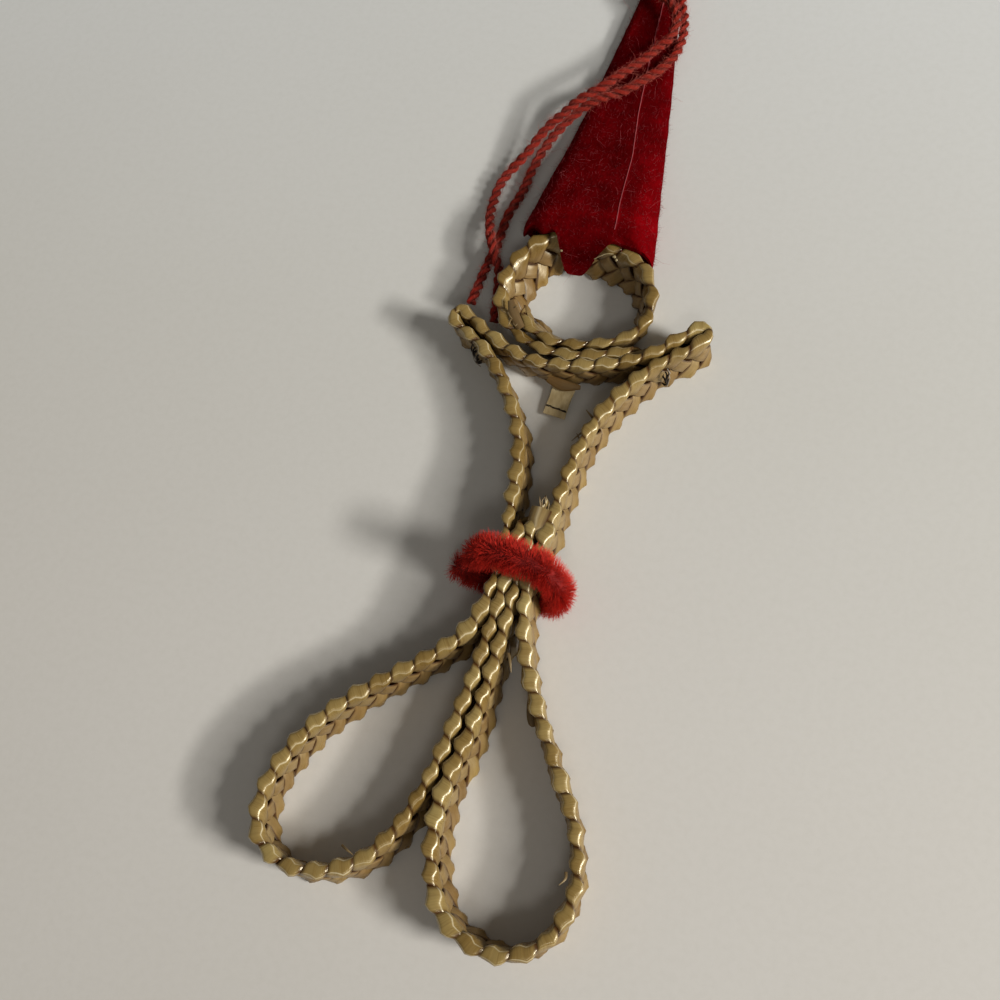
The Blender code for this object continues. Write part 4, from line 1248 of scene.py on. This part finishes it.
def tab_piece(material):
    """A thin strip with a slight hollow, whose long sides and ends are cut by hand."""
    rows, columns = 24, 20
    levels = []
    for level in (0.5, -0.5):
        sheet = np.zeros((rows + 1, columns + 1, 3))
        for row in range(rows + 1):
            share = row / rows
            waist = 1 - 0.05 * math.sin(math.pi * share)
            for column in range(columns + 1):
                across = column / columns - 0.5
                wobble = 0.05 * noise.noise(Vector((row * 0.35, across * 4, 2.0)))
                x_wobble = 0.03 * noise.noise(Vector((row * 0.8, 3.0 + across, 1.0)))
                y_wobble = 0.04 * noise.noise(Vector((column * 0.9, share, 7.0)))
                x = TAB_WIDTH * waist * across + x_wobble
                y = TAB_LENGTH * (share - 0.5) + y_wobble
                lift = 0.12 * math.sin(math.pi * share) + wobble - 0.1 * across * across
                sheet[row, column] = (x, y, level * TAB_DRAWN_THICKNESS + lift)
        levels.append(sheet)
    grid = np.concatenate([levels[0].reshape(-1, 3), levels[1].reshape(-1, 3)])
    wide = columns + 1
    half = wide * (rows + 1)
    faces = []
    for row in range(rows):
        for column in range(columns):
            a = row * wide + column
            faces.append((a, a + 1, a + wide + 1, a + wide))
            faces.append((half + a, half + a + wide, half + a + wide + 1, half + a + 1))
    edge = [(c, c + 1) for c in range(columns)]
    edge += [(r * wide + columns, (r + 1) * wide + columns) for r in range(rows)]
    edge += [(rows * wide + c, rows * wide + c - 1) for c in range(columns, 0, -1)]
    edge += [(r * wide, (r - 1) * wide) for r in range(rows, 0, -1)]
    faces += [(b, a, half + a, half + b) for a, b in edge]
    return make_piece("tab_strip", on_tab(grid), faces, material, sharp=50)


# one stitch, from where it starts: along the row, towards the tab's free end, and up
STITCH = ((0, 0.03, 0.10), (0.08, 0, 0.25), (0.3, -0.02, 0.26), (0.42, -0.04, 0.10))


def tab_stitches(material):
    """A row of short dark stitches across the tab, near its free end."""
    gathered = Gathered()
    for k, x in enumerate(np.arange(-1.62, 1.6, 0.46)):
        y = -1.16 - 0.04 * x + draw.uniform(-0.05, 0.05)
        local = [(x + dx, y + dy, z) for dx, dy, z in STITCH]
        thread_tube(gathered, on_tab(local), draw.uniform(0.10, 0.16), 40 + k)
    return gathered.piece("tab_stitches", material, "UVMap")


THREAD_SIDES = 7


def thread_tube(gathered, places, radius, seed):
    """A thin round thread through places, with a slight wobble."""
    line = smooth_line(places, 0.08)
    wobble = [wander(np.arange(len(line)), 0.35, seed + k) for k in range(3)]
    line = line + 0.015 * np.column_stack(wobble)
    e1, e2 = cross_axes(unit(np.gradient(line, axis=0)), 0.8)
    around = circle(THREAD_SIDES)[None, :, None]
    section = np.cos(around) * e1[:, None] + np.sin(around) * e2[:, None]
    points, faces = tube_of(line[:, None] + radius * section)
    gathered.add(points, faces)


def tie_piece(name, place_turn, loops, radius, material, seed):
    """Loops of thread through the plait: each a bent line about the tie's place."""
    place, turn = place_turn
    rotate = np.array(Matrix.Rotation(turn, 3, "Z"))
    gathered = Gathered()
    for k, loop in enumerate(loops):
        moved = [np.array(place) + rotate @ np.array(p, float) for p in loop]
        thread_tube(gathered, moved, radius, seed + k)
    return gathered.piece(name, material, "UVMap")


TIE_LEFT_LOOPS = (
    ((-1.1, 0.3, 1.7), (-1.0, -0.15, 1.3), (-0.9, -0.3, 0.6), (-0.9, -0.2, 0.1), (-0.8, 0.3, -0.1)),
    ((-0.6, 0.3, 1.4), (-0.5, -0.25, 1.0), (-0.35, -0.4, 0.2), (-0.4, -0.3, -0.6), (-0.3, 0.2, -1.0)),
    ((-0.1, 0.3, 1.2), (0.0, -0.3, 0.8), (0.1, -0.42, 0.0), (0.1, -0.35, -0.9), (0.4, 0.1, -1.3)),
    ((0.5, 0.3, 1.0), (0.5, -0.25, 0.6), (0.55, -0.4, -0.2), (0.6, -0.35, -1.0), (0.3, -0.1, -1.5)),
    ((-0.3, 0.1, -0.8), (0.1, -0.4, -1.1), (0.6, -0.4, -1.2), (0.9, 0.1, -1.1)),
    ((0.9, 0.2, -0.4), (0.7, -0.3, -1.0), (0.3, -0.4, -1.3), (-0.1, 0.1, -1.3)),
)
# Pale loops at the left tie: painted highlights on the dark knot, drawn as pale thread.
PALE_LEFT_LOOPS = (
    ((-0.7, 0.2, 1.2), (-0.65, -0.35, 0.6), (-0.6, -0.4, -0.2), (-0.4, 0.1, -0.9)),
    ((0.3, 0.2, 0.9), (0.33, -0.42, 0.2), (0.36, -0.45, -0.6), (0.4, 0.0, -1.0)),
    ((-1.0, 0.0, -0.2), (-0.6, -0.5, -0.9), (0.2, -0.6, -1.6), (1.0, -0.3, -1.8)),
)
TIE_RIGHT_LOOPS = (
    ((0.45, 0.4, 2.2), (0.35, -0.25, 1.7), (0.05, -0.36, 0.8), (-0.1, -0.36, 0.1), (0.1, 0.2, -0.3)),
    ((0.1, 0.4, 1.3), (0.0, -0.30, 0.8), (-0.2, -0.40, 0.0), (-0.1, -0.40, -0.9), (-0.2, 0.1, -1.6)),
    ((-0.4, 0.3, 0.5), (-0.3, -0.30, -0.1), (-0.1, -0.42, -0.8), (-0.2, -0.38, -1.4), (-0.5, 0.1, -1.8)),
    ((0.2, 0.3, 0.0), (0.1, -0.35, -0.5), (-0.1, -0.42, -1.2), (-0.4, -0.30, -1.7), (-0.6, 0.2, -1.7)),
)
PALE_RIGHT_LOOPS = (
    ((0.5, 0.2, 0.6), (0.4, -0.35, 0.1), (0.2, -0.40, -0.7), (0.1, -0.35, -1.6), (-0.1, -0.3, -2.6)),
    ((0.3, 0.2, 2.4), (0.45, -0.3, 2.0), (0.5, -0.3, 1.6), (0.6, 0.2, 1.3)),
)


def wire_material():
    made = Nodes("wire", 0.25, Metallic=1.0)
    grain = made.noise(made.place(), 3000.0, 3.0)
    base = made.ramp(grain, (0.3, (0.50, 0.47, 0.42)), (0.7, (0.72, 0.69, 0.64)))
    made.link(base, "Base Color")
    made.bump(grain, 0.2, 0.0001)
    return made.material


def chenille_wire(material):
    """The two twisted wires that hold the pile; their cut ends stand out of it."""
    places = np.array([place for place, _, _ in CHENILLE_ROUTE])
    start = places[0] - unit(places[1] - places[0]) * WIRE_OUT
    line = smooth_line([(p[0], p[2], p[1]) for p in (start, *places)], 0.15)[:, [0, 2, 1]]
    _, side, out = chenille_axes(line)
    turn = 2 * math.pi * lengths_along(line) / WIRE_TURN
    gathered = Gathered()
    for phase in (0.0, math.pi):
        lean = side * np.sin(turn + phase)[:, None] + out * np.cos(turn + phase)[:, None]
        centre = line + lean * WIRE_RADIUS
        around = circle(THREAD_SIDES)[None, :, None]
        section = np.cos(around) * side[:, None] + np.sin(around) * out[:, None]
        points, faces = tube_of(centre[:, None] + WIRE_RADIUS * section)
        gathered.add(points, faces)
    return gathered.piece("chenille_wire", material, "UVMap")


def add_drop(gathered, place, radii, seed):
    """A small lumpy drop."""
    down, around = np.linspace(0.12, math.pi - 0.12, 9)[:, None], circle(12)[None]
    level = np.cos(down) + 0 * around
    way = np.stack([np.sin(down) * np.cos(around), np.sin(down) * np.sin(around), level], -1)
    shift = Vector((seed, 0, 0))
    lumps = [[1 + 0.25 * noise.noise(Vector(w) * 1.3 + shift) for w in row] for row in way]
    points, faces = tube_of(np.array(place) + way * np.array(lumps)[..., None] * np.array(radii))
    gathered.add(points, faces)


def glue_piece(material):
    """Traces of glue on the face, a string of it under the hat's lip, and a bead at the right tie."""
    gathered = Gathered()
    for k, (place, radii) in enumerate(GLUE_DROPS):
        add_drop(gathered, place, radii, 3.7 * k)
    thread_tube(gathered, GLUE_STRING, 0.07, 51)
    return gathered.piece("glue_drops", material, "UVMap", 80)


# ---------------------------------------------------------------- camera, light and floor


CAMERA_PLACE = (38.54, -70.53, 174.29)  # in millimetres; this and its axes are estimates
WINDOW_AZIMUTH = -8.0  # in degrees
LIGHT_DISTANCE = 1.4  # in metres
TABLE_HALF = 1.6  # in metres
WINDOW_COLOUR = (1.0, 0.99, 0.97)


def add_camera():
    data = bpy.data.cameras.new("camera")
    data.lens = 45.0
    data.sensor_width = 36.0
    data.clip_start = 0.005
    camera = bpy.data.objects.new("camera", data)
    bpy.context.scene.collection.objects.link(camera)
    axes = Matrix(
        (
            (0.9553, -0.1969, 0.2206),
            (0.2550, 0.9262, -0.2778),
            (-0.1496, 0.3216, 0.9350),
        )
    )
    camera.matrix_world = Matrix.Translation(Vector(CAMERA_PLACE) * MM) @ axes.to_4x4()
    bpy.context.scene.camera = camera


def add_light(name, azimuth, elevation, size, power):
    """A bright rectangle seen from the object in this direction, in degrees."""
    data = bpy.data.lights.new(name, "AREA")
    data.shape = "RECTANGLE"
    data.size, data.size_y = size
    data.energy = power
    data.color = WINDOW_COLOUR
    up, turn = math.radians(elevation), math.radians(azimuth)
    level = math.cos(up)
    way = Vector((level * math.cos(turn), level * math.sin(turn), math.sin(up)))
    place = way * LIGHT_DISTANCE
    light = bpy.data.objects.new(name, data)
    light.location = place
    light.rotation_euler = (-place).to_track_quat("-Z", "Y").to_euler()
    bpy.context.scene.collection.objects.link(light)


def add_stage():
    mesh = bpy.data.meshes.new("table")
    corners = [(x * TABLE_HALF, y * TABLE_HALF, 0) for x, y in ((-1, -1), (1, -1), (1, 1), (-1, 1))]
    mesh.from_pydata(corners, [], [(0, 1, 2, 3)])
    mesh.materials.append(floor_material())
    table = bpy.data.objects.new("table", mesh)
    bpy.context.scene.collection.objects.link(table)
    world = bpy.data.worlds.new("studio")
    world.use_nodes = True
    background = world.node_tree.nodes["Background"]
    background.inputs["Color"].default_value = (1.0, 0.96, 0.90, 1.0)
    background.inputs["Strength"].default_value = 0.13
    bpy.context.scene.world = world
    bpy.context.scene.view_settings.view_transform = "Standard"


# ---------------------------------------------------------------- the whole


def keep(piece, node):
    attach(piece, "root")
    if node:
        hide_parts(node)


def main():
    add_camera()
    yarn_hair = fuzz_material("yarn_hair", (0.20, 0.010, 0.006), (0.70, 0.16, 0.11), 500.0)
    yarn, yarn_fuzz, path, length = yarn_pieces(yarn_material(), yarn_hair)
    keep(yarn, "hanging_yarn")
    keep(yarn_fuzz, None)

    body, face = straw_plaits(straw_material())
    keep(body, "body_plait")
    keep(face, "face_ring")

    felt_hair = fuzz_material("felt_hair", (0.13, 0.0015, 0.004), (0.60, 0.12, 0.13), 700.0)
    hat, hat_fuzz = hat_pieces(felt_material(), felt_hair)
    keep(hat, "hat")
    keep(hat_fuzz, None)

    reds = (0.11, 0.0016, 0.0010), (0.70, 0.026, 0.011)
    pile = fuzz_material("chenille_pile", *reds, 900.0, 0.8, Specular_IOR_Level=0.3)
    keep(main_chenille(pile), "waist_chenille")

    keep(tab_piece(tab_material()), "shoulder_tab")

    dark = thread_material("dark_thread", (0.009, 0.005, 0.003), (0.034, 0.021, 0.012), 0.6)
    keep(tab_stitches(dark), None)
    keep(tie_piece("tie_left", TIE_LEFT, TIE_LEFT_LOOPS, 0.13, dark, 3), "shoulder_tie_left")
    keep(tie_piece("tie_right", TIE_RIGHT, TIE_RIGHT_LOOPS, 0.13, dark, 11), "shoulder_tie_right")
    pale = thread_material("pale_thread", (0.22, 0.18, 0.13), (0.40, 0.34, 0.26), 0.4)
    keep(tie_piece("tie_left_pale", TIE_LEFT, PALE_LEFT_LOOPS, 0.07, pale, 23), None)
    keep(tie_piece("tie_right_pale", TIE_RIGHT, PALE_RIGHT_LOOPS, 0.08, pale, 31), None)
    keep(chenille_wire(wire_material()), None)
    keep(glue_piece(glue_material()), None)

    add_stage()
    # a window on the right: a bright lower part, a bright upper part, and what is between
    add_light("window_low", WINDOW_AZIMUTH, 27.0, (0.30, 0.10), 12.6)
    add_light("window_middle", WINDOW_AZIMUTH, 34.0, (0.30, 0.24), 5.4)
    add_light("window_high", WINDOW_AZIMUTH, 41.0, (0.30, 0.10), 4.9)
    add_light("soft_panel", -66.0, 52.0, (0.34, 0.24), 1.6)


main()
